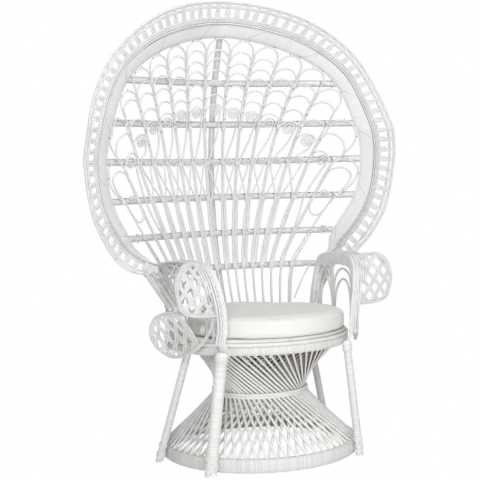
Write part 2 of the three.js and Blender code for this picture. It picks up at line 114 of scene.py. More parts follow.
# Curves through a few points
def spline(points, count):
    """Evenly spaced points on a smooth curve through the given ones."""
    last = len(points) - 1
    fine = []
    steps = 24
    for i in range(last):
        p0 = points[max(i - 1, 0)]
        p1 = points[i]
        p2 = points[i + 1]
        p3 = points[min(i + 2, last)]
        for k in range(steps):
            t = k / steps
            v0 = (p2 - p0) * 0.5
            v1 = (p3 - p1) * 0.5
            across = (p1 - p2) * (2 * t ** 3 - 3 * t ** 2)
            fine.append(across + p1 + v0 * (t ** 3 - 2 * t ** 2 + t) + v1 * (t ** 3 - t ** 2))
    fine.append(points[last].copy())
    return spaced(fine, count)


def spaced(route, count):
    """Evenly spaced points along a route of straight steps."""
    lengths = [0.0]
    for a, b in zip(route, route[1:]):
        lengths.append(lengths[-1] + (b - a).length)
    result = []
    for k in range(count + 1):
        target = lengths[-1] * k / count
        i = clamp(bisect.bisect_left(lengths, target), 1, len(route) - 1)
        gap = lengths[i] - lengths[i - 1]
        share = (target - lengths[i - 1]) / gap if gap else 0
        result.append(route[i - 1].lerp(route[i], share))
    return result


def run_length(route):
    return sum((b - a).length for a, b in zip(route, route[1:]))


def vectors(*rows):
    return [Vector(row) for row in rows]


# A peel strip's section, in shares of half its width and half its thickness
PEEL_SECTION = ((-1, -0.3), (-0.8, -1), (0.8, -1), (1, -0.3), (1, 0.3), (0.8, 1), (-0.8, 1), (-1, 0.3))
# A cane's rounded tip: how far it stands out, its share of the girth, and its length on the map, in radii
TIP_OUT = 0.45
TIP_GIRTH = 0.62
TIP_LENGTH = 0.4
# A nail head's rings: share of its radius, and lift in radii
NAIL_SECTION = ((1.0, -0.6), (1.0, 0.2), (0.62, 0.75))


class Weave:
    """A piece made of canes, each lofted into one shared mesh, with its length and girth as a map."""

    def __init__(self):
        self.points = []
        self.faces = []
        self.map = []

    def loft(self, rings, lengths, closed=False):
        """Joins rings of points in order; lengths holds each ring's distance along, in millimetres."""
        start = len(self.points)
        sides = len(rings[0])
        for ring in rings:
            self.points.extend(ring)
        spans = len(rings) if closed else len(rings) - 1
        for i in range(spans):
            j = (i + 1) % len(rings)
            u0 = lengths[i]
            u1 = lengths[j] if j else lengths[i] + (lengths[i] - lengths[i - 1])
            for k in range(sides):
                m = (k + 1) % sides
                row = (start + i * sides, start + j * sides)
                self.faces.append((row[0] + k, row[0] + m, row[1] + m, row[1] + k))
                v0 = k / sides
                v1 = (k + 1) / sides
                self.map.append(((u0 * MM, v0), (u0 * MM, v1), (u1 * MM, v1), (u1 * MM, v0)))
        if not closed:
            first = tuple(start + k for k in reversed(range(sides)))
            end = start + (len(rings) - 1) * sides
            final = tuple(end + k for k in range(sides))
            for face, u in ((first, lengths[0]), (final, lengths[-1])):
                self.faces.append(face)
                self.map.append(tuple((u * MM, 0.5) for _ in face))

    def frames(self, route, closed=False):
        """A pair of cross directions at each point, carried along without twist."""
        count = len(route)
        tangents = []
        for i in range(count):
            a = route[i - 1] if closed or i else route[i]
            b = route[(i + 1) % count] if closed or i < count - 1 else route[i]
            tangents.append((b - a).normalized())
        side = tangents[0].orthogonal().normalized()
        result = []
        for i, tangent in enumerate(tangents):
            if i:
                side = tangents[i - 1].rotation_difference(tangent) @ side
            side = (side - tangent * side.dot(tangent)).normalized()
            result.append((side, tangent.cross(side)))
        return result

    def cane(self, route, radius, sides=8, closed=False):
        """A round cane along a route; radius is a number, or one number for each point."""
        radii = radius if isinstance(radius, (list, tuple)) else [radius] * len(route)
        crosses = self.frames(route, closed)
        rings = []
        lengths = []
        length = 0.0
        for i, point in enumerate(route):
            if i:
                length += (point - route[i - 1]).length
            a, b = crosses[i]
            rings.append([point + spoke(a, b, 2 * math.pi * k / sides) * radii[i] for k in range(sides)])
            lengths.append(length)
        if not closed:
            for end, neighbour in ((0, 1), (-1, -2)):
                out = (route[end] - route[neighbour]).normalized() * TIP_OUT * radii[end]
                tip = [route[end] + out + (p - route[end]) * TIP_GIRTH for p in rings[end]]
                if end == 0:
                    rings.insert(0, tip)
                    lengths.insert(0, -TIP_LENGTH * radii[0])
                else:
                    rings.append(tip)
                    lengths.append(length + TIP_LENGTH * radii[-1])
        self.loft(rings, lengths, closed)

    def wound(self, route, radius, pitch, ridge, sides=12):
        """A pole bound closely with peel: each turn stands out as a low rounded ridge."""
        turns = max(3, round(run_length(route) / pitch))
        fine = spaced(route, 3 * turns)
        radii = []
        for _ in range(turns + 1):
            swell = radius + chance.uniform(-0.12, 0.18)
            radii.extend((swell - ridge, swell, swell - 0.12 * ridge))
        self.cane(fine, radii[:len(fine)], sides)

    def twisted(self, route, away, step, radius):
        """Three canes twisted round each other; step is the turn from one point to the next."""
        crosses = self.frames(route)
        for strand in range(3):
            places = []
            for k, point in enumerate(route):
                angle = 2 * math.pi * strand / 3 + k * step
                places.append(point + spoke(*crosses[k], angle) * away)
            self.cane(places, radius, 7)

    def ribbon(self, route, width, thick, facings):
        """A flat peel strip; facings is the way its face looks, or a list of one way for each point."""
        ways = facings if isinstance(facings, list) else [facings] * len(route)
        half = 0.5 * width
        rise = 0.5 * thick
        rings = []
        lengths = []
        length = 0.0
        last = len(route) - 1
        for i, point in enumerate(route):
            if i:
                length += (point - route[i - 1]).length
            tangent = (route[min(i + 1, last)] - route[max(i - 1, 0)]).normalized()
            across = tangent.cross(ways[i]).normalized()
            out = across.cross(tangent).normalized()
            rings.append([point + across * (half * x) - out * (rise * y) for x, y in PEEL_SECTION])
            lengths.append(length)
        self.loft(rings, lengths)

    def knob(self, place, radius, facing):
        """The head of a small nail."""
        facing = facing.normalized()
        a = facing.orthogonal().normalized()
        b = facing.cross(a)
        rings = []
        for share, lift in NAIL_SECTION:
            middle = place + facing * (lift * radius)
            rings.append([middle + spoke(a, b, k * math.pi / 3) * (radius * share) for k in range(6)])
        self.loft(rings, [0, radius, 2 * radius])

    def piece(self, name, material, slot, nodes, smooth=True):
        """The finished piece, which rides on the chair and stands for the nodes named."""
        mesh = bpy.data.meshes.new(name)
        shift = Vector((0, FRAME_BACK, 0))
        mesh.from_pydata([(p + shift) * MM for p in self.points], [], self.faces)
        layer = mesh.uv_layers.new(name="along_and_round")
        flat = [value for corners in self.map for pair in corners for value in pair]
        layer.data.foreach_set("uv", flat)
        mesh.materials.append(material)
        mesh.update()
        thing = bpy.data.objects.new(name, mesh)
        bpy.context.scene.collection.objects.link(thing)
        if smooth:
            mesh.polygons.foreach_set("use_smooth", [True] * len(mesh.polygons))
            bpy.ops.object.select_all(action="DESELECT")
            thing.select_set(True)
            bpy.context.view_layer.objects.active = thing
            bpy.ops.object.shade_smooth_by_angle(angle=math.radians(50))
        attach(thing, "chair")
        if nodes:
            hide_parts(*nodes)


# Shader maths as plain expressions on sockets
class Wire:
    def __init__(self, finish, socket):
        self.finish = finish
        self.socket = socket

    def other(self, out):
        """Another output of the same node."""
        return Wire(self.finish, self.socket.node.outputs[out])

    def maths(self, operation, *values):
        return self.finish.node("ShaderNodeMath", {"operation": operation}, dict(enumerate(values)))

    def __add__(self, other):
        return self.maths("ADD", self, other)

    __radd__ = __add__

    def __sub__(self, other):
        return self.maths("SUBTRACT", self, other)

    def __rsub__(self, other):
        return self.maths("SUBTRACT", other, self)

    def __mul__(self, other):
        return self.maths("MULTIPLY", self, other)

    __rmul__ = __mul__

    def __truediv__(self, other):
        return self.maths("DIVIDE", self, other)

    def fract(self):
        return self.maths("FRACT", self)

    def floor(self):
        return self.maths("FLOOR", self)

    def sine(self):
        return self.maths("SINE", self)


class Finish:
    """The nodes of one material, or of the world, under construction."""

    def __init__(self, owner):
        owner.use_nodes = True
        self.owner = owner
        self.tree = owner.node_tree
        self.shader = self.tree.nodes.get("Principled BSDF")

    def node(self, kind, settings=None, values=None, out=0):
        """A new node: its settings are set first, then the values or links of its sockets."""
        made = self.tree.nodes.new(kind)
        for key, value in (settings or {}).items():
            setattr(made, key, value)
        for key, value in (values or {}).items():
            if isinstance(value, Wire):
                self.tree.links.new(value.socket, made.inputs[key])
            else:
                made.inputs[key].default_value = value
        return Wire(self, made.outputs[out])

    def place(self):
        return self.node("ShaderNodeTexCoord", out="Object")

    def facing(self):
        return self.node("ShaderNodeTexCoord", out="Normal")

    def split(self, vector, out):
        return self.node("ShaderNodeSeparateXYZ", {}, {0: vector}, out)

    def along(self):
        """The length along a cane in metres and the share of the way round it."""
        length = self.split(self.node("ShaderNodeUVMap", {"uv_map": "along_and_round"}), "X")
        return length, length.other("Y")

    def noise(self, where, scale, detail=3.0):
        values = {"Vector": where, "Scale": scale, "Detail": detail, "Roughness": 0.55}
        return self.node("ShaderNodeTexNoise", {}, values)

    def one_each(self, count):
        """A number of its own for each whole count."""
        return self.node("ShaderNodeTexWhiteNoise", {"noise_dimensions": "1D"}, {"W": count.floor()})

    def vector_maths(self, operation, first, second, out=0):
        return self.node("ShaderNodeVectorMath", {"operation": operation}, {0: first, 1: second}, out)

    def blend(self, share, low, high):
        """Two colours mixed: low where the share is 0, high where it is 1."""
        return self.node("ShaderNodeMix", {"data_type": "RGBA"}, {0: share, 6: low, 7: high}, 2)

    def limit(self, value, low, high):
        """Rises evenly from 0 at low to 1 at high."""
        values = {0: value, 1: low, 2: high, 3: 0.0, 4: 1.0}
        return self.node("ShaderNodeMapRange", {"clamp": True}, values)

    def ridge(self, share, edge):
        """Falls to 0 at both ends of a share that runs from 0 to 1."""
        return self.limit(share, 0.0, edge) * self.limit(1 - share, 0.0, edge)

    def colour(self, value):
        self.tree.links.new(value.socket, self.shader.inputs["Base Color"])

    def roughness(self, value):
        self.tree.links.new(value.socket, self.shader.inputs["Roughness"])

    def bump(self, height, distance, strength):
        values = {"Height": height, "Distance": distance, "Strength": strength}
        made = self.node("ShaderNodeBump", {}, values)
        self.tree.links.new(made.socket, self.shader.inputs["Normal"])


def grey(value, warm=0.0):
    return (value, value * (1 - 0.35 * warm), value * (1 - warm), 1)


PAINT = 0.83
# Share of the paint's warmth kept on the cooler canes that carry painted shade on their sides
COOL_PAINT_WARMTH = 0.1
# Dark brown painted shade for the inside of the base
INSIDE_SHADE_COLOUR = (0.15, 0.12, 0.09, 1)
# Distance between a cane's joints and between the ends of the band's strips, in metres
CANE_JOINTS = 0.23
BAND_STRIPS = 0.212


def front_share(f):
    """How much of a cane is spared the painted side shade: none on its sides, all of it where it faces
    front or back.
    """
    ahead = f.split(f.facing(), "Y")
    return f.limit(ahead * ahead, 0.0, 0.32)


def painted_cane(name, paint, shade_inside=False, shade_all_round=0.0, shade_from=WAIST_Z - 4, shade_over=16, cool_with_side_shade=False):
    """White paint on round cane, darker at its joints; it can take dark brown painted shade where it faces
    inwards higher up, and painted shade on its sides with a cooler tint.
    """
    f = Finish(bpy.data.materials.new(name))
    length, girth = f.along()
    where = f.place()
    blotch = f.noise(where, 26)
    fibres = f.node("ShaderNodeCombineXYZ", {}, {0: length * 40, 1: girth * 60, 2: 0.0})
    grain = f.node("ShaderNodeTexNoise", {}, {"Vector": fibres, "Scale": 1.0, "Detail": 2.0})
    joint = f.limit((length / CANE_JOINTS + blotch * 0.5).fract(), 0.0, 0.03)
    tone = f.limit(blotch * 0.6 + grain * 0.4, 0.3, 0.7)
    warm = COOL_PAINT_WARMTH if cool_with_side_shade else 1.0
    base = f.blend(tone, grey(paint - 0.09, 0.035 * warm), grey(paint + 0.03, 0.015 * warm))
    painted = f.blend(joint, grey(paint - 0.17, 0.06 * warm), base)
    # Painted shade inside the base: dark brown on the faces that look inwards, and by a set share on every
    # face, above a given height
    if shade_inside:
        level = f.vector_maths("MULTIPLY", where, (1, 1, 0))
        outward = f.node("ShaderNodeVectorMath", {"operation": "NORMALIZE"}, {0: level})
        turned = f.vector_maths("DOT_PRODUCT", outward, f.facing(), "Value")
        inward = f.limit(0.1 - turned, 0.0, 0.45) * (1 - shade_all_round) + shade_all_round
        shade_share = inward * f.limit(f.split(where, "Z"), shade_from * MM, (shade_from + shade_over) * MM)
        painted = f.blend(shade_share, painted, INSIDE_SHADE_COLOUR)
    # Painted shade on the cane's sides, where they face sideways, up or down rather than to the front or
    # back
    if cool_with_side_shade:
        painted = f.blend(front_share(f), grey(paint - 0.46, 0.04 * warm), painted)
    f.colour(painted)
    f.roughness(f.limit(grain, 0.2, 0.8) * 0.2 + 0.36)
    f.bump(grain * 0.5 + joint * 0.8, 0.0004, 0.7)
    return f.owner


def wound_peel(name, paint, cool_with_side_shade=False):
    """White paint over turns of flat peel: a dark line between turns and a tone of its own on each turn; it
    can also be cooler, with painted shade on its sides.
    """
    f = Finish(bpy.data.materials.new(name))
    length, girth = f.along()
    blotch = f.noise(f.place(), 18)
    turns = length / (PEEL_TURN * MM) + girth * 0.35
    edge = f.ridge(turns.fract(), 0.16)
    each = f.one_each(turns)
    tone = f.limit(blotch * 0.55 + each * 0.45, 0.2, 0.8)
    warm = COOL_PAINT_WARMTH if cool_with_side_shade else 1.0
    base = f.blend(tone, grey(paint - 0.1, 0.035 * warm), grey(paint + 0.03, 0.015 * warm))
    wound = f.blend(edge, grey(paint - 0.24, 0.06 * warm), base)
    # Painted shade on the peel's sides, where they face sideways, up or down rather than to the front or
    # back
    if cool_with_side_shade:
        wound = f.blend(front_share(f), grey(paint - 0.5, 0.04 * warm), wound)
    f.colour(wound)
    f.roughness(blotch * 0.2 + 0.36)
    f.bump(edge + each * 0.2, 0.0006, 0.8)
    return f.owner


def rim_paint():
    """The rim's broad band: fine turns of peel that show as faint cross lines under pooled paint."""
    f = Finish(bpy.data.materials.new("white_rim_band"))
    length, girth = f.along()
    blotch = f.noise(f.place(), 9)
    turns = length / (BAND_TURN * MM)
    edge = f.ridge(turns.fract(), 0.22)
    each = f.one_each(turns)
    tone = f.limit(blotch * 0.8 + each * 0.2, 0.25, 0.75)
    base = f.blend(tone, grey(PAINT - 0.04), grey(PAINT + 0.05))
    # A dark line at each strip's end: the joint itself, darkened further as painted shade of the step where
    # one strip lies over the next
    seams = length / BAND_STRIPS + girth * 0.55 + f.noise(length, 3.0) * 0.6
    joint = f.ridge(seams.fract(), 0.009)
    wound = f.blend(edge * 0.5 + 0.5, grey(PAINT - 0.28), base)
    f.colour(f.blend(joint, grey(PAINT - 0.5, 0.03), wound))
    f.roughness(blotch * 0.2 + 0.34)
    f.bump(edge + each * 0.3, 0.0004, 0.6)
    return f.owner


def nail_steel():
    """Dark steel with a little rust on it."""
    f = Finish(bpy.data.materials.new("dull_nail_heads"))
    spots = f.noise(f.place(), 300)
    f.colour(f.blend(spots, grey(0.03, 0.1), grey(0.1, 0.15)))
    f.shader.inputs["Metallic"].default_value = 0.6
    f.roughness(spots * 0.3 + 0.35)
    return f.owner


# The cotton's thread spacing in metres, and the colours it varies between
COTTON_THREAD = 0.0016
COTTON_DULL = (0.81, 0.805, 0.775, 1)
COTTON_PALE = (0.88, 0.875, 0.85, 1)


def cushion_cloth():
    """Off-white cotton: a close plain weave, faint slubs and a soft matt sheen."""
    f = Finish(bpy.data.materials.new("off_white_cotton"))
    where = f.place()
    x = f.split(where, "X")
    thread = 2 * math.pi / COTTON_THREAD
    warp = (x * thread).sine()
    weft = ((x.other("Y") + x.other("Z")) * thread).sine()
    weave = warp * weft
    slub = f.noise(where, 160, 2.0)
    cloud = f.noise(where, 7)
    tone = f.limit(cloud * 0.6 + slub * 0.3 + weave * 0.06, 0.3, 0.75)
    f.colour(f.blend(tone, COTTON_DULL, COTTON_PALE))
    f.shader.inputs["Sheen Weight"].default_value = 0.25
    f.shader.inputs["Sheen Roughness"].default_value = 0.5
    f.roughness(slub * 0.1 + 0.85)
    f.bump(weave * 0.35 + slub, 0.0003, 0.5)
    return f.owner


CANE = painted_cane("white_painted_cane", PAINT)
# Outer base canes: a lighter copy of the white paint as painted light, with painted shade on their inward
# faces above the waist
CANE_SHADED_INSIDE = painted_cane("cane_painted_inside_shade", PAINT + 0.09, True)
# Inner base canes: a little lighter paint as painted light, with painted shade on all faces from below the
# waist up, fullest on inward faces
CANE_SHADED_ALL_ROUND = painted_cane("cane_painted_shade_all_round", PAINT + 0.05, True, 0.6, WAIST_Z - 75, 70)
# Arm canes: a darker copy of the white paint, painted shade on the arms
ARM_CANE = painted_cane("white_arm_cane", PAINT - 0.07)
# Fan and lace canes: a little lighter paint as painted light, cooler, with painted shade on their sides
FAN_CANE = painted_cane("white_cane_painted_side_shade", PAINT + 0.03, cool_with_side_shade=True)
PEEL = wound_peel("white_wound_peel", PAINT)
# Legs: a lighter copy of the peel's paint, painted light on the legs
LEG_PEEL = wound_peel("white_leg_peel", PAINT + 0.07)
# A dark cane laid as painted shade in the rim's creases
CREASE_SHADE_CORD = painted_cane("crease_shade_cord", 0.34)
# Rails: a lighter copy of the peel's paint as painted light, cooler, with painted shade on their top and
# bottom edges
RAIL_PEEL = wound_peel("white_peel_painted_side_shade", PAINT + 0.06, True)
BAND = rim_paint()
NAIL = nail_steel()
CLOTH = cushion_cloth()


# Base
def circle(radius, z, count):
    return [polar(radius, 2 * math.pi * k / count, z) for k in range(count)]


def bound_ring(weave, profile, pitch, ridge):
    """A hoop of the given section (radius, height, share of the ridge it takes), bound round with peel."""
    outer = max(r for r, z, take in profile)
    turns = round(2 * math.pi * outer / pitch)
    rings = []
    lengths = []
    for turn in range(turns):
        swell = chance.uniform(-0.15, 0.2)
        for part, lift in ((0.0, -ridge), (0.3, 0.0), (0.7, -0.1 * ridge)):
            angle = 2 * math.pi * (turn + part) / turns
            rings.append([polar(r + take * (lift + swell), angle, z) for r, z, take in profile])
            lengths.append((turn + part) * PEEL_TURN)
    weave.loft(rings, lengths, closed=True)


foot = Weave()
bound_ring(foot, [
    (FOOT_R - FOOT_WALL, 6, -1), (FOOT_R - 6, 4, 0.3), (FOOT_R - 1.5, 7, 1), (FOOT_R, 16, 1),
    (FOOT_R + 0.4, 25, 1), (FOOT_R, 34, 1), (FOOT_R - 1.5, FOOT_H - 4, 1), (FOOT_R - 6, FOOT_H, 0.3),
    (FOOT_R - FOOT_WALL + 4, FOOT_H, -0.3), (FOOT_R - FOOT_WALL, FOOT_H - 4, -1),
], pitch=5.2, ridge=0.7)
foot.piece("foot_ring_bound", PEEL, "wound_peel", ["foot_ring"])


# How far each cane turns about the axis between the foot ring and the waist
FOOT_TURN = math.radians(27)
# How far the hand-made hourglass has moved off its axis at the waist, and how much more at the seat
WAIST_ASIDE = 6
SEAT_ASIDE = 20
ASIDE = Vector((0.912, -0.41, 0))
# How far the canes' ends lie inside the foot ring's face and the seat ring's inner face
FOOT_CANE_IN = 7
SEAT_CANE_IN = 5.4
# How far below the foot ring's top and the seat ring's top they end
CANE_END_DOWN = 8
# The share of their thickness that they keep above the waist
UPPER_GIRTH = 0.9
# The share of the seat ring's inner radius that is clear between its facets
FACET_CLEAR = 0.996
# The inner family lies this far inside the outer one
INNER_AT_FOOT = 10
INNER_AT_WAIST = 13
INNER_AT_SEAT = 18


def lean(z):
    """How far the hourglass stands off its own axis at a height."""
    if z < WAIST_Z:
        away = WAIST_ASIDE * (z - FOOT_H) / (WAIST_Z - FOOT_H)
    else:
        away = WAIST_ASIDE + SEAT_ASIDE * (z - WAIST_Z) / (SEAT_BOTTOM - WAIST_Z)
    return ASIDE * away


def base_family(name, hand, inner, material, nodes):
    """One family of straight canes, bent at the waist; inner is 1 for the family inside, or 0."""
    weave = Weave()
    foot_r = FOOT_R - FOOT_CANE_IN - inner * INNER_AT_FOOT
    waist_r = WAIST_R - inner * INNER_AT_WAIST
    seat_r = FACET_CLEAR * (SEAT_R - SEAT_WALL) - SEAT_CANE_IN - inner * INNER_AT_SEAT
    seat_turn = math.acos(waist_r / seat_r)
    for k in range(BASE_CANES):
        angle = 2 * math.pi * (k + chance.uniform(-0.07, 0.07)) / BASE_CANES
        low = polar(foot_r, angle + hand * FOOT_TURN, FOOT_H - CANE_END_DOWN)
        waist = polar(waist_r, angle, WAIST_Z)
        high = polar(seat_r, angle - hand * seat_turn, SEAT_TOP - CANE_END_DOWN)
        route = [low.lerp(waist, t / 6) for t in range(6)] + [waist.lerp(high, t / 16) for t in range(17)]
        route = [q + lean(q.z) for q in route]
        route = [q for q in route if q.z < SEAT_BOTTOM or math.hypot(q.x, q.y) < seat_r + 1]
        above = [smoothstep(q.z, WAIST_Z - 6, WAIST_Z + 30) for q in route]
        weave.cane(route, [BASE_CANE_R * mix(1, UPPER_GIRTH, share) for share in above], 10)
    weave.cane(circle(seat_r, SEAT_TOP - CANE_END_DOWN, 72), 5, 8, closed=True)
    weave.piece(name, material, "painted_cane", nodes)


base_family("hourglass_canes_outer", 1, 0, CANE_SHADED_INSIDE, ["base_canes_outer"])
base_family("hourglass_canes_inner", -1, 1, CANE_SHADED_ALL_ROUND, ["base_canes_inner"])


def waist_circle(radius, z, count):
    return [q + lean(WAIST_Z) for q in circle(radius, z, count)]


# The waist's hoops: how thick their canes are and how far each lies from what it is tied to
WAIST_CANE_R = 4.6
WAIST_CANE_AWAY = 4.4
TIE_CANE_R = 5
TIE_CANE_AWAY = 5.4
waist = Weave()
for z in (WAIST_Z - WAIST_CANE_AWAY, WAIST_Z + WAIST_CANE_AWAY):
    waist.cane(waist_circle(WAIST_R + BASE_CANE_R + WAIST_CANE_AWAY, z, 72), WAIST_CANE_R, 10, closed=True)
waist.piece("waist_hoop_pair", CANE_SHADED_INSIDE, "painted_cane", ["waist_hoop"])
tie = Weave()
tie_r = WAIST_R - INNER_AT_WAIST - BASE_CANE_R - TIE_CANE_AWAY
tie.cane(waist_circle(tie_r, WAIST_Z, 60), TIE_CANE_R, 10, closed=True)
tie.piece("waist_tie_hoop", CANE_SHADED_INSIDE, "painted_cane", ["waist_hoop_inner"])

# Each leg's bearing at the foot and at the top, in degrees from the front, and its share of LEG_R
LEGS = {
    "front_right": (44, 40, 0.82), "front_left": (-51, -44, 1.24),
    "rear_right": (111, 112, 0.8), "rear_left": (-95, -78, 0.8),
}
# Room between a leg and the faces of the foot ring and the seat ring
LEG_OFF_FOOT = 2.4
LEG_OFF_SEAT = 1.7
# A front leg goes up beside the apron; a rear one stops below it, this far inside its face
FRONT_LEG_UP = 8
REAR_LEG_DOWN = 3.3
REAR_LEG_IN = 18
LEG_TURN = 5.5
# The crossed wrap at the foot: where it starts, how long it is, and its half turns
WRAP_FROM = 8
WRAP_LONG = 52
WRAP_HALF_TURNS = 1.5
WRAP_STEPS = 24


def leg(place, foot_turn, top_turn, thick):
    """A bound pole, cut level at the floor, with a crossed wrap at its foot; a front leg has a collar."""
    weave = Weave()
    radius = thick * LEG_R
    front = place.startswith("front")
    top_r = SEAT_R + radius + LEG_OFF_SEAT if front else SEAT_R - radius - REAR_LEG_IN
    top_z = SEAT_BOTTOM + FRONT_LEG_UP if front else SEAT_BOTTOM - REAR_LEG_DOWN
    start = FOOT_R + radius + LEG_OFF_FOOT
    foot_r = start + 1.2 * FOOT_H * (start - top_r) / top_z
    low = polar(foot_r, math.radians(foot_turn), 0)
    high = polar(top_r, math.radians(top_turn), top_z)
    axis = (high - low).normalized()
    weave.wound(spaced([low, high], 40), radius, LEG_TURN, 0.5, 16)
    for i, point in enumerate(weave.points):
        if point.z < 0.45 * radius and (point - low).length < 1.6 * radius:
            weave.points[i] = point - axis * (point.z / axis.z)
    a = axis.orthogonal().normalized()
    b = axis.cross(a)
    for hand in (1, -1):
        for offset in (0, math.pi):
            route = []
            for k in range(WRAP_STEPS + 1):
                turn = hand * (k / WRAP_STEPS) * WRAP_HALF_TURNS * math.pi + offset
                at = low + axis * (WRAP_FROM + WRAP_LONG * k / WRAP_STEPS)
                route.append(at + spoke(a, b, turn) * (radius + 0.8))
            weave.cane(route, 2.2, 6)
    if front:
        length = (high - low).length
        collar = spaced([low + axis * (length - 14), low + axis * (length - 1)], 4)
        weave.wound(collar, radius + 2.4, 4.4, 0.7, 16)
        for k in range(3):
            at = low + axis * (length - 16 - 4.2 * k)
            hoop = [at + spoke(a, b, t * math.pi / 12) * (radius + 0.9) for t in range(24)]
            weave.cane(hoop, 2.1, 6, closed=True)
    weave.piece("leg_%s_bound" % place, LEG_PEEL, "wound_peel", ["leg_" + place])


for place, (foot_turn, top_turn, thick) in LEGS.items():
    leg(place, foot_turn, top_turn, thick)

# Seat
apron = Weave()
bound_ring(apron, [
    (SEAT_R - SEAT_WALL, SEAT_BOTTOM + 3, -1), (SEAT_R - 5, SEAT_BOTTOM, 0.3),
    (SEAT_R - 1, SEAT_BOTTOM + 4, 1), (SEAT_R, SEAT_BOTTOM + 10, 1), (SEAT_R, SEAT_BOTTOM + 18, 1),
    (SEAT_R - 1, SEAT_BOTTOM + 24, 1), (SEAT_R - 5, SEAT_BOTTOM + 27, 0.3),
    (SEAT_R - SEAT_WALL, SEAT_BOTTOM + 27, -0.3),
], pitch=5.0, ridge=0.5)
apron.piece("seat_apron_bound", PEEL, "wound_peel", ["seat_ring"])
bead = Weave()
bead.cane(circle(SEAT_R - BEAD_R + 1, SEAT_BOTTOM + 32, 120), BEAD_R + 0.6, 10, closed=True)
bead.cane(circle(SEAT_R - BEAD_R - 9, SEAT_TOP + 2, 120), 7, 10, closed=True)
bead.piece("seat_bead_cane", CANE, "painted_cane", ["seat_bead"])

# The deck is one coiled cane, a little uneven, with spokes below it
DECK_TURNS = 28
DECK_STEPS = 40
DECK_RIPPLE = 36
DECK_SPOKES = 18
deck = Weave()
deck_r = SEAT_R - 2 * BEAD_R - 3.4
coil = []
for k in range(DECK_TURNS * DECK_STEPS + 1):
    turn = k / DECK_STEPS
    wave = 0.6 * math.sin(turn * DECK_RIPPLE)
    coil.append(polar(4 + (deck_r - 9) * turn / DECK_TURNS, 2 * math.pi * turn, DECK_TOP - 5 + wave))
deck.cane(coil, 4.6)
for k in range(DECK_SPOKES):
    angle = 2 * math.pi * k / DECK_SPOKES
    deck.cane([polar(r, angle, SEAT_TOP + 2.6) for r in (10, 90, 180, deck_r - 4)], 2.1, 6)
deck.piece("seat_deck_coiled", CANE, "painted_cane", ["seat_deck"])


# Before it swells, the cushion's cover lies this far off the deck and is this much lower and narrower
COVER_OFF_DECK = 1.2
COVER_LOWER = 8
COVER_NARROWER = 9
# How near the deck it may come afterwards
COVER_NEAREST = 0.5
# How far the cushion's cover may swell, the size of its faces and how long it swells, in metres and frames
SWELL_MOST = 0.009
COVER_FACE = 0.006
SWELL_FRAMES = 20


def cushion():
    """A boxed round pad, swelled as cloth and a little higher at its rear left."""
    bpy.ops.object.select_all(action="DESELECT")
    low = (DECK_TOP + COVER_OFF_DECK) * MM
    height = (CUSHION_H - COVER_LOWER) * MM
    radius = (CUSHION_R - COVER_NARROWER) * MM
    middle = (CUSHION_SIDEWAYS * MM, (CUSHION_Y + FRAME_BACK) * MM, low + 0.5 * height)
    bpy.ops.mesh.primitive_cylinder_add(vertices=96, radius=radius, depth=height, location=middle)
    pad = bpy.context.object
    pad.name = "round_cushion"
    pad.scale = (CUSHION_WIDE, 1, 1)
    bpy.ops.object.transform_apply(location=True, rotation=True, scale=True)
    bpy.ops.object.mode_set(mode="EDIT")
    bpy.ops.mesh.select_all(action="SELECT")
    bpy.ops.mesh.bevel(offset=0.012, segments=3, affect="EDGES")
    bpy.ops.object.mode_set(mode="OBJECT")
    remesh = pad.modifiers.new("even_faces", "REMESH")
    remesh.mode = "VOXEL"
    remesh.voxel_size = COVER_FACE
    bpy.ops.object.modifier_apply(modifier=remesh.name)
    rest = [v.co.copy() for v in pad.data.vertices]
    cloth = pad.modifiers.new("filled_cover", "CLOTH")
    cloth.settings.use_pressure = True
    cloth.settings.uniform_pressure_force = 4.0
    cloth.settings.effector_weights.gravity = 0.0
    cloth.settings.quality = 6
    cloth.point_cache.frame_start = 1
    cloth.point_cache.frame_end = SWELL_FRAMES
    for step in range(1, SWELL_FRAMES + 1):
        bpy.context.scene.frame_set(step)
    bpy.ops.object.modifier_apply(modifier=cloth.name)
    bpy.context.scene.frame_set(1)
    centre = Vector((middle[0], middle[1], 0))
    for vertex, start in zip(pad.data.vertices, rest):
        move = vertex.co - start
        if move.length > SWELL_MOST:
            move = move * (SWELL_MOST / move.length)
        place = start + move
        share = (place.z - low) / height
        away = (place - centre).dot(TO_REAR_LEFT)
        place.z += CUSHION_REAR_LIFT * MM * share * smoothstep(away, 0.02, 0.26)
        place.z = max(place.z, (DECK_TOP + COVER_NEAREST) * MM)
        vertex.co = place
    finer = pad.modifiers.new("finer", "SUBSURF")
    finer.levels = 1
    finer.render_levels = 1
    bpy.ops.object.modifier_apply(modifier=finer.name)
    bpy.ops.object.shade_smooth()
    pad.data.materials.clear()
    pad.data.materials.append(CLOTH)
    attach(pad, "cushion")
    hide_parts("cushion")


cushion()


# Back
def back_y(x, z):
    """The depth of the dish that the whole back lies on."""
    up = (z - DECK_TOP) / BACK_H
    out = x / BACK_HALF_W
    deeper = 1 + 0.5 * max(0, up - 0.5)
    flare = 0.22 + 1.3 * max(0, up - 0.6)
    return BACK_DEEP - BACK_LEAN * (up - 0.42) ** 2 - BACK_DISH * deeper * (out ** 2 - flare * out ** 4)


def rim_y(x, z):
    """The rim's depth: on the dish, but drawn forward at its two tails."""
    inward = clamp((0.8 - abs(x) / BACK_HALF_W) / 0.26, 0, 1)
    low = 1 - smoothstep((z - DECK_TOP) / BACK_H, 0.215, 0.262)
    return back_y(x, z) - TAIL_PULL * inward * low


def on_back(x, z, layer):
    return Vector((x, back_y(x, z) + layer, z))


def on_rim(x, z, layer):
    return Vector((x, rim_y(x, z) + layer, z))


def drawn_flat(out, up):
    """A place seen from the front, from shares of the back's half width and of its height."""
    return Vector((out * BACK_HALF_W, DECK_TOP + up * BACK_H))


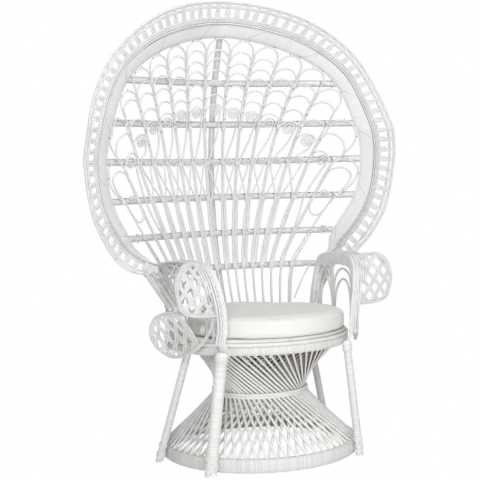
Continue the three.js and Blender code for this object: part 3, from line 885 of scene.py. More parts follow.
INNER_EDGE = [drawn_flat(*row) for row in (
    (TAIL_OUT, 0.216), (0.667, 0.280), (0.796, 0.392), (0.830, 0.508), (0.785, 0.624), (0.651, 0.764),
    (0.363, 0.858), (0, 0.896), (-0.363, 0.858))]
OUTER_EDGE = [drawn_flat(*row) for row in (
    (TAIL_OUT, 0.176), (0.645, 0.176), (0.720, 0.187), (0.796, 0.214), (0.881, 0.270), (0.955, 0.349),
    (0.995, 0.452), (1, 0.543), (0.936, 0.684), (0.789, 0.820), (0.538, 0.927), (0.269, 0.983), (0, 1),
    (-0.269, 0.983))]


def half(edge):
    """Points on the right half of a rim edge, evenly spaced from the tail to the top."""
    return spaced([p for p in spline(edge, 600) if p.x >= 0], 600)


INNER_HALF = half(INNER_EDGE)
OUTER_HALF = half(OUTER_EDGE)


def edge_at(points, u):
    """The place a share of the way along evenly spaced points."""
    at = clamp(u, 0, 1) * (len(points) - 1)
    i = min(int(at), len(points) - 2)
    return points[i].lerp(points[i + 1], at - i)


def rim_width(u):
    return (edge_at(OUTER_HALF, 1 - abs(u)) - edge_at(INNER_HALF, 1 - abs(u))).length


def band_width(u):
    return min(RIM_BAND_W, 0.4 * rim_width(u))


def across_rim(u, out, layer):
    """A place on the rim: u runs -1 (right tail), 0 (top), 1 (left tail); out runs 0 (inner edge) to 1."""
    point = edge_at(INNER_HALF, 1 - abs(u)).lerp(edge_at(OUTER_HALF, 1 - abs(u)), out)
    return on_rim(-point.x if u > 0 else point.x, point.y, layer)


def on_band(u, d, layer):
    """A place on the band, d millimetres out from the rim's inner edge."""
    return across_rim(u, min(d, band_width(u)) / rim_width(u), layer)


def on_lace(u, t, layer):
    """A place on the lace: t runs from the band's outer edge (0) to the rim's outer edge (1)."""
    return across_rim(u, mix(band_width(u) / rim_width(u), 1, t), layer)


def lace_width(u):
    return (on_lace(u, 1, 0) - on_lace(u, 0, 0)).length


# The lace's usual width, how far it runs towards the tails as a share, and its openings
LACE_W = 71
LACE_REACH = 42.2 / 44
LACE_OPENINGS = 72
LACE_RUN_STEPS = 260
LACE_STEP = 2 * LACE_REACH / LACE_OPENINGS


def lace_scale(u):
    """How thick the lace's canes are: thinner where the lace narrows towards the tails."""
    return clamp(lace_width(u) / LACE_W, 0.35, 1.15)


def lace_run(weave, t, layer, radius):
    """A cane all the way along the lace."""
    places = [-1 + 2 * k / LACE_RUN_STEPS for k in range(LACE_RUN_STEPS + 1)]
    route = [on_lace(u, t, layer) for u in places]
    weave.cane(route, [radius * lace_scale(u) for u in places])


def lace_rope(weave, t, half_width, layer, radius, twists):
    """Two strands twisted round each other along the lace, a dark gap at each turn."""
    count = 7 * twists
    for strand in (0, math.pi):
        places = [LACE_REACH * (-1 + 2 * k / count) for k in range(count + 1)]
        route = []
        for u in places:
            turn = math.pi * twists * (u / LACE_REACH + 1) + strand
            route.append(on_lace(u, t + half_width * math.cos(turn), layer - radius * math.sin(turn)))
        weave.cane(route, [radius * lace_scale(u) for u in places], 6)


# Where the band's strips end, and which way each end looks
SEAMS = ((-0.93, -1), (-0.77, -1), (-0.52, 1), (-0.21, 1), (0.03, -1), (0.33, -1), (0.6, 1), (0.86, 1))
SEAM_SLANT = 0.008
SEAM_RUN = 0.1
SEAM_STEP = 1.3


def seam_lift(u, d):
    """The band's strips overlap: each end stands a little proud of the strip it covers."""
    lift = 0.0
    for place, hand in SEAMS:
        away = (u - place - hand * SEAM_SLANT * d / RIM_BAND_W) * hand
        if 0 <= away < SEAM_RUN:
            lift += SEAM_STEP * (1 - away / SEAM_RUN)
    return lift


# The band's section: millimetres out from the inner edge, and the layer, which is negative to the front
BAND_SECTION = ((1.5, -3), (3.5, -8.6), (9, -10), (18, -10.4), (27, -10.2), (35, -9.4), (39, -8), (41, -3),
                (36, -0.6), (6, -0.6))
BAND_OUTSIDE = 41
BAND_TURNS = 620


def rim_band():
    """A flat band wound closely with fine peel, half as wide at its tails."""
    weave = Weave()
    rings = []
    lengths = []
    for turn in range(BAND_TURNS + 1):
        swell = chance.uniform(-0.06, 0.08)
        for part, lift in ((0.0, -0.18), (0.35, 0.0), (0.7, -0.04)):
            u = -1 + 2 * min(turn + part, BAND_TURNS) / BAND_TURNS
            narrow = mix(1, 0.5, smoothstep(abs(u), 0.86, 0.98))
            ring = []
            for d, layer in BAND_SECTION:
                proud = lift + swell + seam_lift(u, d) if layer < -4 else 0
                ring.append(on_band(u, BAND_OUTSIDE - (BAND_OUTSIDE - d) * narrow, layer - proud))
            rings.append(ring)
            lengths.append((turn + part) * BAND_TURN)
    weave.loft(rings, lengths)
    weave.piece("rim_band_bound", BAND, "rim_band", ["rim_band"])


def rim_lace():
    """A bead beside the band, twisted ropes, a row of spindles with openings between, more ropes."""
    weave = Weave()
    lace_run(weave, 0.03, -9.2, 2.5)
    for t in (0.115, 0.19, 0.27):
        lace_rope(weave, t, 0.024, -5.2, 2.1, 2 * LACE_OPENINGS)
    for t in (0.725, 0.775):
        lace_rope(weave, t, 0.018, -5.0, 1.9, 2 * LACE_OPENINGS)
    for k in range(LACE_OPENINGS + 1):
        u = LACE_REACH - LACE_STEP * k
        wander = chance.uniform(-0.05, 0.05)
        size = lace_scale(u)
        for strand, layer in ((-1, -3.4), (-0.33, -5.8), (0.33, -3.8), (1, -6.0)):
            route = []
            for step in range(9):
                away = step / 8
                swell = 0.14 + 0.07 * math.sin(math.pi * away) ** 2
                across = strand * swell + 0.05 * math.cos(math.pi * away) * (1 if layer < -5 else -1)
                place = u + LACE_STEP * (wander + across)
                route.append(on_lace(place, mix(0.27, 0.74, away), layer))
            weave.ribbon(route, 5.0 * size, 1.8, FORWARD)
    for hand in (-1, 1):
        for k in range(16):
            u = hand * min(LACE_REACH + 0.008 + 0.0042 * k, 1)
            stops = ((-0.06, -5.4), (0.3, -6.2), (0.7, -6.2), (1.0, -5.4))
            weave.ribbon(spline([on_lace(u, t, layer) for t, layer in stops], 8), 6.0, 2.0, FORWARD)
    weave.piece("rim_lace_woven", FAN_CANE, "rim_band", ["rim_lace"])
    # Two thin dark cords in the creases beside the bead: painted shade in the grooves
    shade_cords = Weave()
    for t in (-0.012, 0.072):
        lace_run(shade_cords, t, -8.6, 1.3)
    shade_cords.piece("rim_crease_shade_cords", CREASE_SHADE_CORD, "rim_band", [])


def rim_hoop():
    """The rim's outer edge: canes tied back to the lace, with small openings between the ties."""
    weave = Weave()
    lace_run(weave, 0.915, -5.6, 2.6)
    lace_run(weave, 0.97, -6.6, 2.9)
    lace_run(weave, 0.96, -1.8, 2.6)
    for k in range(LACE_OPENINGS + 1):
        u = LACE_REACH - LACE_STEP * k
        for strand in (-0.14, 0.0, 0.14):
            inside = u + LACE_STEP * (strand + chance.uniform(-0.04, 0.04))
            outside = u + LACE_STEP * strand
            route = [on_lace(inside, 0.73, -6.6), on_lace(inside, 0.83, -6.2), on_lace(outside, 0.92, -8.6),
                     on_lace(outside, 0.985, -9.2), on_lace(outside, 1.0, -5.2)]
            weave.ribbon(spline(route, 10), 3.8 * lace_scale(u), 1.3, Vector((0, -1, 0.05)))
    weave.piece("rim_outer_canes", FAN_CANE, "rim_band", ["rim_hoop"])


rim_band()
rim_lace()
rim_hoop()

# Rails and spine: each rail's half length and height as shares of the back
RAILS = ((0.674, 0.750), (0.785, 0.622), (0.830, 0.508), (0.796, 0.392), (0.667, 0.280),
         (TAIL_OUT + 0.035, 0.172))
RAIL_Z = [drawn_flat(0, up).y for out, up in RAILS]
# How far each rail bows upward at the middle
RAIL_BOWS = (15, 14, 8, 8, 2, 0)
# A rail's radius with its peel on, and one turn of that peel
RAIL_BOUND_R = RAIL_R + 1.6
RAIL_TURN = 6.0


def rail_reach(k):
    return RAILS[k][0] * BACK_HALF_W + (0.28 * RIM_BAND_W if k < 5 else 0)


def rail_height(k, x):
    return RAIL_Z[k] + RAIL_BOWS[k] * (1 - (x / rail_reach(k)) ** 2)


for k in range(len(RAILS)):
    weave = Weave()
    reach = rail_reach(k)
    route = []
    for t in range(31):
        x = reach * (-1 + t / 15)
        route.append(on_back(x, rail_height(k, x), RAIL_Y))
    weave.wound(route, RAIL_BOUND_R, RAIL_TURN, 0.5, 12)
    weave.piece("rail_%d_bound" % (k + 1), RAIL_PEEL, "wound_peel", ["rail_%d" % (k + 1)])
spine = Weave()
spine_top = drawn_flat(0, 0.9).y
spine.cane([on_back(0, mix(DECK_TOP + 0.6, spine_top, t / 30), SPINE_Y) for t in range(31)], SPINE_R, 14)
spine.piece("spine_pole", CANE, "wound_peel", ["spine_post"])


# Fan: the ribs stand nearly upright on the seat, bend out at a knee and run on to the rim
RIBS = 16
RIB_FOOT_X = 19
RIB_FOOT_PITCH = 28.7
# How much further each rib leans out than the one before it, below the knee, and flares near the rim
RIB_LEAN_STEP = 0.0265
RIB_FLARE_STEP = 0.00009
RIB_CANE_R = 3.7
KNEE_LOW = 505
KNEE_HIGH = 640
RIB_FLARE_Z = 1000
# Heights of the arches' crowns in each gap, counted from the middle gap outward
CROWNS = (
    (1386, 1349, 1321, 1284, 1250, 1202, 1169),
    (1386, 1342, 1306, 1274, 1231, 1189, 1157),
    (1380, 1318, 1284, 1254, 1213, 1177, 1144),
    (1348, 1284, 1251, 1211, 1170, 1132),
    (1298, 1225, 1191, 1143, 1104),
    (1210, 1164, 1104, 1056),
    (),
    (),
)
CURL_Z = (1143, 1136, 1122, 1100, 1076, 1031, 962, 843)
ARCH_TILT = 1.4


def rib_count(k):
    """A rib's number, counted from the middle outward."""
    return 7 - k if k < 8 else k - 8


# Drift for each millimetre of height above the fourth rail
FAN_DRIFT = -0.027


def fan_lean(z):
    """The fan was woven by eye: it drifts to the left as it rises."""
    return FAN_DRIFT * max(z - RAIL_Z[3], 0)


def rib_spread(k):
    """How steeply a rib leans out above its knee."""
    c = rib_count(k)
    return 0.035 + 0.058 * c - 0.0005 * c ** 2 + 0.0007 * c ** 3


def rib_x(k, z):
    """A rib's place at a height; ribs are counted from left to right."""
    c = rib_count(k)
    lean = RIB_LEAN_STEP * c
    bend = KNEE_HIGH - KNEE_LOW
    rise = z - KNEE_LOW
    part = clamp(rise / bend, 0, 1)
    foot = RIB_FOOT_X + RIB_FOOT_PITCH * c + lean * min(rise, bend)
    spread = bend * (rib_spread(k) - lean) * part ** 3 / 3 + rib_spread(k) * max(rise - bend, 0)
    flare = RIB_FLARE_STEP * c * max(z - RIB_FLARE_Z, 0) ** 2
    return math.copysign(foot + spread + flare, k - 7.5) + fan_lean(z)


INNER_Z = [p.y for p in INNER_HALF]


def rim_half_width(z):
    """The rim's inner half width at a height."""
    i = bisect.bisect_left(INNER_Z, z)
    if i == 0 or i == len(INNER_Z):
        return 0
    low, high = INNER_HALF[i - 1], INNER_HALF[i]
    return mix(low.x, high.x, (z - low.y) / (high.y - low.y))


nails = Weave()


def nail(x, z, layer):
    nails.knob(on_back(x, z, layer), 1.7, FORWARD)


def fan_cane(weave, flat, radius=FAN_CANE_R, layer=RIB_Y):
    """A cane drawn flat in x and z, laid on the dish and kept inside the rim."""
    route = []
    for p in flat:
        limit = max(rim_half_width(p.y) - radius - 0.5, 0) if p.y > RAIL_Z[4] else 1e9
        route.append(on_back(clamp(p.x, -limit, limit), p.y, layer))
    weave.cane(route, radius)


def along_rib(k, low, high, offset, count=12):
    """Points up one rib, offset to one side of it."""
    places = [mix(low, high, t / count) for t in range(count + 1)]
    return [Vector((rib_x(k, z) + offset, z)) for z in places]


class Gap:
    """The gap to the right of rib k; its arches tilt outward with the ribs."""

    def __init__(self, k):
        self.k = k
        self.far = abs(k - 7)

    def middle(self, z):
        return 0.5 * (rib_x(self.k, z) + rib_x(self.k + 1, z))

    def span(self, z):
        return rib_x(self.k + 1, z) - rib_x(self.k, z)

    def side(self, base, across, right, inset):
        """How far along the line across the gap a rib lies."""
        k = self.k + right
        slope = rib_x(k, base.y + 1) - rib_x(k, base.y)
        away = (rib_x(k, base.y) - base.x) / (across.x - slope * across.y)
        return away - inset if right else away + inset

    def bow(self, crown_z, tall):
        """Points over one arch whose highest point lies at crown_z, from left foot to right foot."""
        slope = self.middle(crown_z + 1) - self.middle(crown_z)
        angle = ARCH_TILT * math.atan(slope)
        up = Vector((math.sin(angle), math.cos(angle)))
        across = Vector((up.y, -up.x))
        low = crown_z - tall * self.span(crown_z)
        for _ in range(3):
            base = Vector((self.middle(low), low))
            left = self.side(base, across, 0, FAN_CANE_R)
            right = self.side(base, across, 1, FAN_CANE_R)
            rise = tall * (right - left)
            low = crown_z - math.hypot(rise * up.y, 0.5 * (right - left) * up.x)
        points = []
        for t in range(19):
            turn = math.pi * (1 - t / 18)
            reach = mix(left, right, 0.5 + 0.5 * math.cos(turn))
            points.append(base + up * (rise * math.sin(turn)) + across * reach)
        return points

    def arch(self, crown_z, tall):
        """The arch lowered until it lies clear of the rim."""
        for drop in range(0, 60, 2):
            points = self.bow(crown_z - drop, tall)
            if all(abs(p.x) < rim_half_width(p.y) - FAN_CANE_R + 2 for p in points):
                break
        return points

    def hairpin(self, weave):
        """One long cane: up one rib, over the arch that meets the rim, and down the next rib."""
        bow = self.arch(CROWNS[self.far][0], 0.5)
        start = RAIL_Z[5] - 12
        left = along_rib(self.k, start, bow[0].y - 6, FAN_CANE_R, 22)
        right = along_rib(self.k + 1, start, bow[-1].y - 6, -FAN_CANE_R, 22)
        fan_cane(weave, left + bow + right[::-1])
        for p in (bow[6], bow[11]):
            nail(p.x, p.y + 4, RIB_Y - 8)

    def small_arch(self, weave, crown_z):
        bow = self.arch(crown_z, 0.47)
        left = along_rib(self.k, bow[0].y - 24, bow[0].y - 4, 1.2, 4)
        right = along_rib(self.k + 1, bow[-1].y - 24, bow[-1].y - 4, -1.2, 4)
        fan_cane(weave, left + bow + right[::-1], FAN_CANE_R, RIB_Y - 2.6)
        nail(right[1].x, right[1].y, RIB_Y - 6.4)


def curl(weave, x, z, radius, tail, thick=3.1, hand=1):
    """A flat spiral of about two turns, whose tail runs on through the points given."""
    turns = max(1.4, (radius - thick) / (2.35 * thick))
    flat = []
    steps = int(24 * turns)
    for i in range(steps + 1):
        part = i / steps
        turn = 2 * math.pi * turns * (1 - part)
        r = mix(0.8, radius, part)
        flat.append(Vector((x + hand * r * math.cos(turn), z + r * math.sin(turn))))
    if tail:
        flat.extend(spline([flat[-1]] + vectors(*tail), 7 * len(tail))[1:])
    fan_cane(weave, flat, thick, RIB_Y - 3.4)


def spirals(weave, gap):
    """The gap's two spirals: one under its last arch, one on the third rail, their tails crossing below."""
    def left(z):
        return rib_x(gap.k, z) + 3 * FAN_CANE_R - 0.6

    def right(z):
        return rib_x(gap.k + 1, z) - 3 * FAN_CANE_R + 0.6

    def down(side):
        """Points down the side of a rib to the lowest rail."""
        hook = RAIL_Z[5] - 6
        heights = [mix(last, hook, t / 4) for t in range(5)]
        return [(side(z), z) for z in heights]

    curl_z = CURL_Z[gap.far]
    curl_r = min(0.36 * gap.span(curl_z), 20)
    if gap.far == 7:
        curl(weave, gap.middle(curl_z) - 8 * (1 if gap.k > 7 else -1), curl_z, 13.5, None, 2.6)
        return
    first, last = (RAIL_Z[2], RAIL_Z[3]) if gap.far < 6 else (RAIL_Z[3], RAIL_Z[4])
    half = mix(first, last, 0.5)
    sweep = mix(curl_z, first, 0.45)
    drop = left(first) if gap.far < 6 else gap.middle(first)
    tail = [(gap.middle(sweep) + 0.14 * gap.span(sweep), sweep), (drop, first),
            (mix(drop, right(last), 0.45), half)]
    curl(weave, gap.middle(curl_z), curl_z, curl_r, tail + down(right))
    if gap.far < 6:
        row_r = min(0.27 * gap.span(first), 13)
        curl(weave, gap.middle(first) + 2, first, row_r, [(gap.middle(half) + 1, half)] + down(left), 2.5)


# The wide loops of the two outermost gaps on the right, from one rib to the next
LOOP_B = ((362, 1053), (371, 1078), (388, 1096), (410, 1099), (433, 1084), (446, 1060), (448, 1034),
          (440, 1010), (422, 985), (408, 966))
LOOP_B_INNER = ((347, 1030), (355, 1048), (368, 1055), (386, 1050), (406, 1034), (416, 1013), (418, 991),
                (412, 974))
LOOP_B_LAST = ((322, 972), (329, 986), (343, 994), (361, 989), (374, 972), (380, 946), (375, 926))
LOOP_C = ((379, 936), (390, 952), (406, 961), (426, 961), (446, 950), (458, 931), (457, 907), (448, 884),
          (430, 862), (409, 844))
LOOP_C_INNER = ((329, 842), (318, 813), (314, 794), (317, 776), (331, 766), (350, 777), (367, 799),
                (395, 836), (421, 865), (434, 886), (437, 908), (426, 925), (409, 933), (391, 931),
                (375, 920), (364, 900))


# The two small spirals beside the rim, above its tail and on it
EDGE_CURL_X = 348
TAIL_CURL_X = 284
TAIL_CURL_RUN = ((TAIL_CURL_X, 22), (262, 60), (232, 118))


def side_loops(weave, hand):
    """The loops of the two outermost gaps and the spirals beside the rim."""
    def place(row):
        return Vector((hand * row[0] + (0 if hand > 0 else 2 * fan_lean(row[1])), row[1]))

    def smooth(rows, count=40):
        return spline([place(row) for row in rows], count)

    start = RAIL_Z[5] - 12
    for loop, low, high in ((LOOP_B, 13, 14), (LOOP_C, 14, 15)):
        near, far = (low, high) if hand > 0 else (15 - low, 15 - high)
        left = along_rib(near, start, loop[0][1] - 14, hand * FAN_CANE_R, 18)
        right = along_rib(far, start, loop[-1][1] - 14, -hand * FAN_CANE_R, 18)
        fan_cane(weave, left + smooth(loop) + right[::-1])
        for row in (loop[3], loop[6]):
            p = place(row)
            nail(p.x, p.y + 3, RIB_Y - 7)
    for loop in (LOOP_B_INNER, LOOP_B_LAST, LOOP_C_INNER):
        fan_cane(weave, smooth(loop, 5 * len(loop)), FAN_CANE_R, RIB_Y - 2.6)
    edge = 15 if hand > 0 else 0
    brace = along_rib(edge, DECK_TOP + 20, RAIL_Z[4] - 12, hand * 2 * FAN_CANE_R, 12)
    fan_cane(weave, brace, 2.9, RIB_Y - 0.6)
    tail = [(hand * x, RAIL_Z[5] - drop) for x, drop in TAIL_CURL_RUN]
    curl(weave, hand * EDGE_CURL_X, RAIL_Z[4], 16, None, 2.8, hand)
    curl(weave, hand * TAIL_CURL_X, RAIL_Z[5], 13, tail, 2.6, hand)


def rib_ties(weave, k):
    """Peel bound slantwise over a rib where it crosses a rail."""
    for i, z in enumerate(RAIL_Z):
        x = rib_x(k, z)
        if i < 5 and abs(x) > rim_half_width(z) - 12:
            continue
        reach = 12 if i > 2 and rib_count(k) < 6 else 8.5
        hand = 1 if (k + i) % 2 else -1
        for drop in (-2.6, 2.6):
            route = []
            for out, rise, layer in ((-1, -5, 3), (-0.6, -3, -4.4), (0.6, 3, -4.4), (1, 5, 3)):
                route.append(on_back(x + out * reach, z + hand * rise + drop, RIB_Y + layer))
            weave.ribbon(spline(route, 9), 4.4, 1.3, FORWARD)


def rail_nails_and_gap_shade(k):
    """Dark nail heads on a rail's upper edge beside each rib, also standing as painted shade of the gaps
    between rib and rail; the third rail has more on its lower edge.
    """
    for i in range(1, 5):
        x = rib_x(k, RAIL_Z[i])
        if abs(x) > rim_half_width(RAIL_Z[i]) - 12:
            continue
        inner = -1 if k > 7 else 1
        spots = ((inner, 1), (-inner, -1)) if i == 2 else ((inner, 1),)
        slant = 0.7 * RAIL_BOUND_R
        for side, up in spots:
            at = x + side * RAIL_NAIL_ASIDE
            place = on_back(at, rail_height(i, at) + up * slant, RAIL_Y - slant)
            nails.knob(place, 3.0 if i == 3 else 2.3, Vector((0, -0.7, 0.7 * up)))


fan = [Weave() for _ in range(RIBS)]
for k in range(RIBS):
    fan_cane(fan[k], along_rib(k, DECK_TOP + 0.8, RAIL_Z[5] + 26, 0.0, 8), RIB_CANE_R)
    rib_ties(fan[k], k)
    rail_nails_and_gap_shade(k)
for k in range(RIBS - 1):
    gap = Gap(k)
    weave = fan[k + 1 if k < 7 else k]
    if gap.far < 6:
        gap.hairpin(weave)
    for crown_z in CROWNS[gap.far][1:]:
        gap.small_arch(weave, crown_z)
    spirals(weave, gap)
side_loops(fan[0], -1)
side_loops(fan[-1], 1)
for k, weave in enumerate(fan):
    name = "left_%d" % (8 - k) if k < 8 else "right_%d" % (k - 7)
    weave.piece("fan_rib_" + name, FAN_CANE, "painted_cane", ["rib_" + name])
nails.piece("fan_nails", NAIL, "painted_cane", [], smooth=False)


# Arms, drawn for the right side: x out, y back, z up from the seat ring's top
# The sheet that the band and the panel are bent to: where it is widest, how far out it lies there at its
# foot and at its top, and how tall it is
ARM_WIDEST_Y = -75
ARM_FOOT_OUT = 282
ARM_TOP_OUT = 270
ARM_TALL = 250


def to_arm(x, y, z):
    return Vector((x, y, SEAT_TOP + z))


def arm_out(y, z):
    """How far out the arm's curved sheet lies."""
    along = y - ARM_WIDEST_Y
    low = ARM_FOOT_OUT - (0.0022 if along < 0 else 0.001) * along ** 2
    high = ARM_TOP_OUT + 0.15 * along
    return low + (high - low) * z / ARM_TALL


def on_sheet(y, z, off=0.0):
    return to_arm(arm_out(y, z) + off, y, z)


# The arm band's two edges as seen from the side: y back, z up from the seat ring's top
ARCH_OUTER = vectors((95, 11), (103, 100), (99, 175), (92, 212), (60, 236), (-60, 250), (-150, 249),
                     (-215, 236), (-250, 194), (-262, 124), (-256, 44), (-240, -7.5))
ARCH_INNER = vectors((76, 11), (80, 144), (72, 179), (45, 198), (-60, 206), (-130, 206), (-190, 200),
                     (-222, 174), (-240, 124), (-236, 44), (-220, -7.5))
# The band's section: the share of the way from the inner to the outer edge, and millimetres outward
ARCH_SECTION = ((0.04, -5), (0.0, -2), (0.0, 2), (0.04, 5), (0.2, 6.6), (0.5, 7.2), (0.8, 6.6), (0.96, 5),
                (1.0, 2), (1.0, -2), (0.96, -5), (0.8, -6.6), (0.5, -7.2), (0.2, -6.6))
ARCH_TURNS = 190
EDGE_STEPS = 260
# Where along the edge the rows of cane on top of the band start, and where the shorter rows end
TOP_ROWS_START = 92
TOP_ROWS_END = 206
# The front post's canes: where the first one leaves the band, their spacing there, and their bearing and
# spacing on the seat ring, in degrees
POST_CANES = 4
POST_TOP_Y = -222
POST_TOP_PITCH = 6.6
POST_BEARING = 42
POST_FOOT_PITCH = 1.3


def arm_arch():
    """The arm's flat wound band, with a twisted edge, rows of cane on top and a front post below."""
    weave = Weave()
    steps = 3 * ARCH_TURNS
    outer = spline(ARCH_OUTER, steps)
    inner = spline(ARCH_INNER, steps)
    edge = spline(ARCH_OUTER, EDGE_STEPS)

    def from_edge(k, depth, off):
        """A place in from the band's outer edge."""
        inward = (inner[min(2 * k, steps)] - edge[k]).normalized()
        place = edge[k] + inward * depth
        return on_sheet(place.x, place.y, off)

    rings = []
    for k in range(steps + 1):
        lift = (-0.35, 0.0, -0.05)[k % 3]
        ring = []
        for across, off in ARCH_SECTION:
            p = inner[k].lerp(outer[k], across)
            ring.append(on_sheet(p.x, p.y, off + math.copysign(lift, off)))
        rings.append(ring)
    weave.loft(rings, [k * 1.5 for k in range(steps + 1)])
    for strand in (0, 1):
        route = []
        for k in range(EDGE_STEPS + 1):
            turn = k * 0.62 + strand * math.pi
            route.append(from_edge(k, 2 - 2.4 * math.cos(turn), 9.2 + 2.2 * math.sin(turn)))
        weave.cane(route, 2.3, 6)
    for row in range(4):
        route = []
        for k in range(TOP_ROWS_START, EDGE_STEPS + 1 if row < 2 else TOP_ROWS_END):
            route.append(from_edge(k, 4 + 0.3 * math.sin(0.7 * k + 2 * row), 15.5 + 8.6 * row))
        weave.cane(route, 3.1, 7)
    for k in range(POST_CANES):
        top = on_sheet(POST_TOP_Y - POST_TOP_PITCH * k, 30, 1.0)
        foot_r = SEAT_R + 9 + 1.5 * k
        bearing = POST_BEARING + POST_FOOT_PITCH * (1.5 - k)
        bottom = polar(foot_r, math.radians(bearing), SEAT_BOTTOM + 4)
        middle = top.lerp(bottom, 0.5) + Vector((3, -6, 0))
        weave.cane(spline([top, middle, bottom], 14), 3.4, 7)
    return weave


# The arm panel's upright stem: its place front to back, how far its canes lie aside, and its two ends
STEM_Y = -33
STEM_ASIDE = 3.8
STEM_FOOT = 11.4
STEM_TOP = 204
# The middle of the panel's tear-shaped curl
TEAR_Y = -176
TEAR_Z = 38
TEAR_TURNS = 2.6
# The panel's nested arches, each from the stem over to a foot
PANEL_ARCHES = (
    ((-29, 96), (-23, 150), (-5, 184), (19, 194), (42, 182), (56, 146), (61, 90), (58, 14)),
    ((-29, 40), (-22, 105), (-4, 148), (18, 161), (36, 146), (44, 100), (42, 14)),
    ((-37, 96), (-49, 150), (-84, 184), (-130, 194), (-180, 180), (-210, 142), (-218, 88), (-213, 14)),
    ((-37, 40), (-51, 105), (-85, 146), (-128, 160), (-168, 142), (-190, 96), (-192, 14)),
)


def arm_panel():
    """A stem of two canes, nested arches on both sides of it, a bound foot and a small tear-shaped curl."""
    weave = Weave()
    for y in (STEM_Y - STEM_ASIDE, STEM_Y + STEM_ASIDE):
        weave.cane(spaced([on_sheet(y, STEM_FOOT), on_sheet(y, STEM_TOP)], 12), 3.5, 8)
    for arch in PANEL_ARCHES:
        weave.cane([on_sheet(p.x, p.y) for p in spline(vectors(*arch), 30)], 3.6, 8)
    block = [on_sheet(STEM_Y, 10 + 4 * k, 0.5) for k in range(12)]
    weave.wound(block, 8.2, 4.2, 0.5, 12)
    tear = []
    for k in range(60):
        part = k / 59
        turn = 2 * math.pi * TEAR_TURNS * (1 - part)
        r = mix(1.5, 9.5, part)
        tear.append(on_sheet(TEAR_Y + r * math.cos(turn), TEAR_Z + 1.7 * r * math.sin(turn), 1.0))
    weave.cane(tear, 2.3, 7)
    return weave


RUN_STEPS = 200
HOOP = [to_arm(*row) for row in (
    (261, -205, 226), (292, -222, 244), (335, -238, 240), (362, -248, 207), (366, -251, 160),
    (354, -251, 116), (320, -251, 95), (275, -250, 92), (236, -249, 92))]
HOOP_RUN = spline(HOOP, RUN_STEPS)


def arm_hoop():
    weave = Weave()
    weave.twisted(spline(HOOP, 90), 3.6, 0.11, 3.2)
    return weave


ROLL_MIDDLE = to_arm(305, -235, 164)
ROLL_TIP = to_arm(300, 30, 228)


def on_roll(around, back, off=0.0):
    """A place on the roll, round the hoop and back towards the rim, and the way out from it."""
    at = clamp(around, 0.02, 0.98) * RUN_STEPS
    front = HOOP_RUN[int(at)].lerp(HOOP_RUN[min(int(at) + 1, RUN_STEPS)], at % 1)
    rear = (front - ROLL_MIDDLE) * 0.15 + ROLL_TIP
    out = (front - ROLL_MIDDLE).normalized()
    point = front.lerp(rear, back) + out * off
    sheet = on_sheet(point.y, point.z - SEAT_TOP).x + 12
    point.x = max(point.x, sheet)
    return point, out


def hoop_holds(x, z):
    """True where a place lies inside the hoop as seen from the front."""
    inside = False
    for a, b in zip(HOOP_RUN, HOOP_RUN[1:] + HOOP_RUN[:1]):
        if (a.z > z) != (b.z > z) and x < a.x + (b.x - a.x) * (z - a.z) / (b.z - a.z):
            inside = not inside
    return inside


def lid_y(x, z):
    """The lid's depth: drawn from the hoop's own points, bulging forward between them."""
    total = 0
    weight = 0
    for p in HOOP:
        pull = 1 / ((p.x - x) ** 2 + (p.z - z) ** 2 + 150)
        total += pull * p.y
        weight += pull
    out = min(1, math.hypot((x - ROLL_MIDDLE.x) / 62, (z - ROLL_MIDDLE.z) / 75))
    return total / weight - 12 * (1 - out ** 2)


LID_PITCH = 31
LID_SLANT = math.radians(54)


def lattice_lid(weave):
    """Split cane woven slantwise, two strands at a time, across the hoop."""
    for hand in (1, -1):
        run = Vector((math.cos(LID_SLANT), hand * math.sin(LID_SLANT)))
        side = Vector((-run.y, run.x))
        for k in range(-4, 5):
            for strand in (-3.1, 3.1):
                start = Vector((ROLL_MIDDLE.x, ROLL_MIDDLE.z)) + side * (k * LID_PITCH + strand)
                places = [start + run * (4 * t) for t in range(-40, 41)]
                places = [q for q in places if hoop_holds(q.x, q.y)]
                if len(places) < 4:
                    continue
                places = [places[0] - run * 5] + places + [places[-1] + run * 5]
                route = []
                for q in places:
                    over = 1.6 * hand * math.sin(math.pi * ((q - start).dot(run) / LID_PITCH + k))
                    route.append(Vector((q.x, lid_y(q.x, q.y) + over, q.y)))
                weave.ribbon(route, 6.0, 2.0, FORWARD)


# How far round the hoop each arm's roof reaches
ROOF_EDGE = {"right": 0.24, "left": 0.62}


def arm_net(roof_edge):
    """The arm's woven ear: a lid across the hoop, and a roof from the hoop's top back to the rim."""
    weave = Weave()
    lattice_lid(weave)
    lines = 6 if roof_edge > 0.5 else 4
    for k in range(lines):
        around = mix(0.05, roof_edge - 0.02, k / (lines - 1))
        spots = []
        for t in range(25):
            over = 1.2 * math.sin(math.pi * (t / 3 + k))
            spots.append(on_roll(around, 0.015 + 0.93 * t / 24, over))
        weave.ribbon([p for p, out in spots], 6.5, 1.8, [out for p, out in spots])
    for k, back in enumerate((0.16, 0.36)):
        spots = []
        for t in range(25):
            over = 1.4 * math.cos(math.pi * (t / 3 + k))
            spots.append(on_roll(mix(0.03, roof_edge, t / 24), back, over))
        weave.ribbon([p for p, out in spots], 7.5, 1.8, [out for p, out in spots])
    for away in (0, 0.018):
        weave.cane([on_roll(roof_edge + away, 0.01 + 0.93 * t / 20)[0] for t in range(21)], 3.2, 7)
    return weave


SCROLL = [to_arm(*row) for row in (
    (249, -238, 84), (253, -228, 52), (268, -196, 6), (296, -140, -34), (331, -83, -45), (362, -44, -19),
    (375, -25, 26), (366, -38, 70), (339, -81, 88), (296, -153, 86), (262, -214, 100), (250, -237, 106))]
SCROLL_RUN = spline(SCROLL, RUN_STEPS)
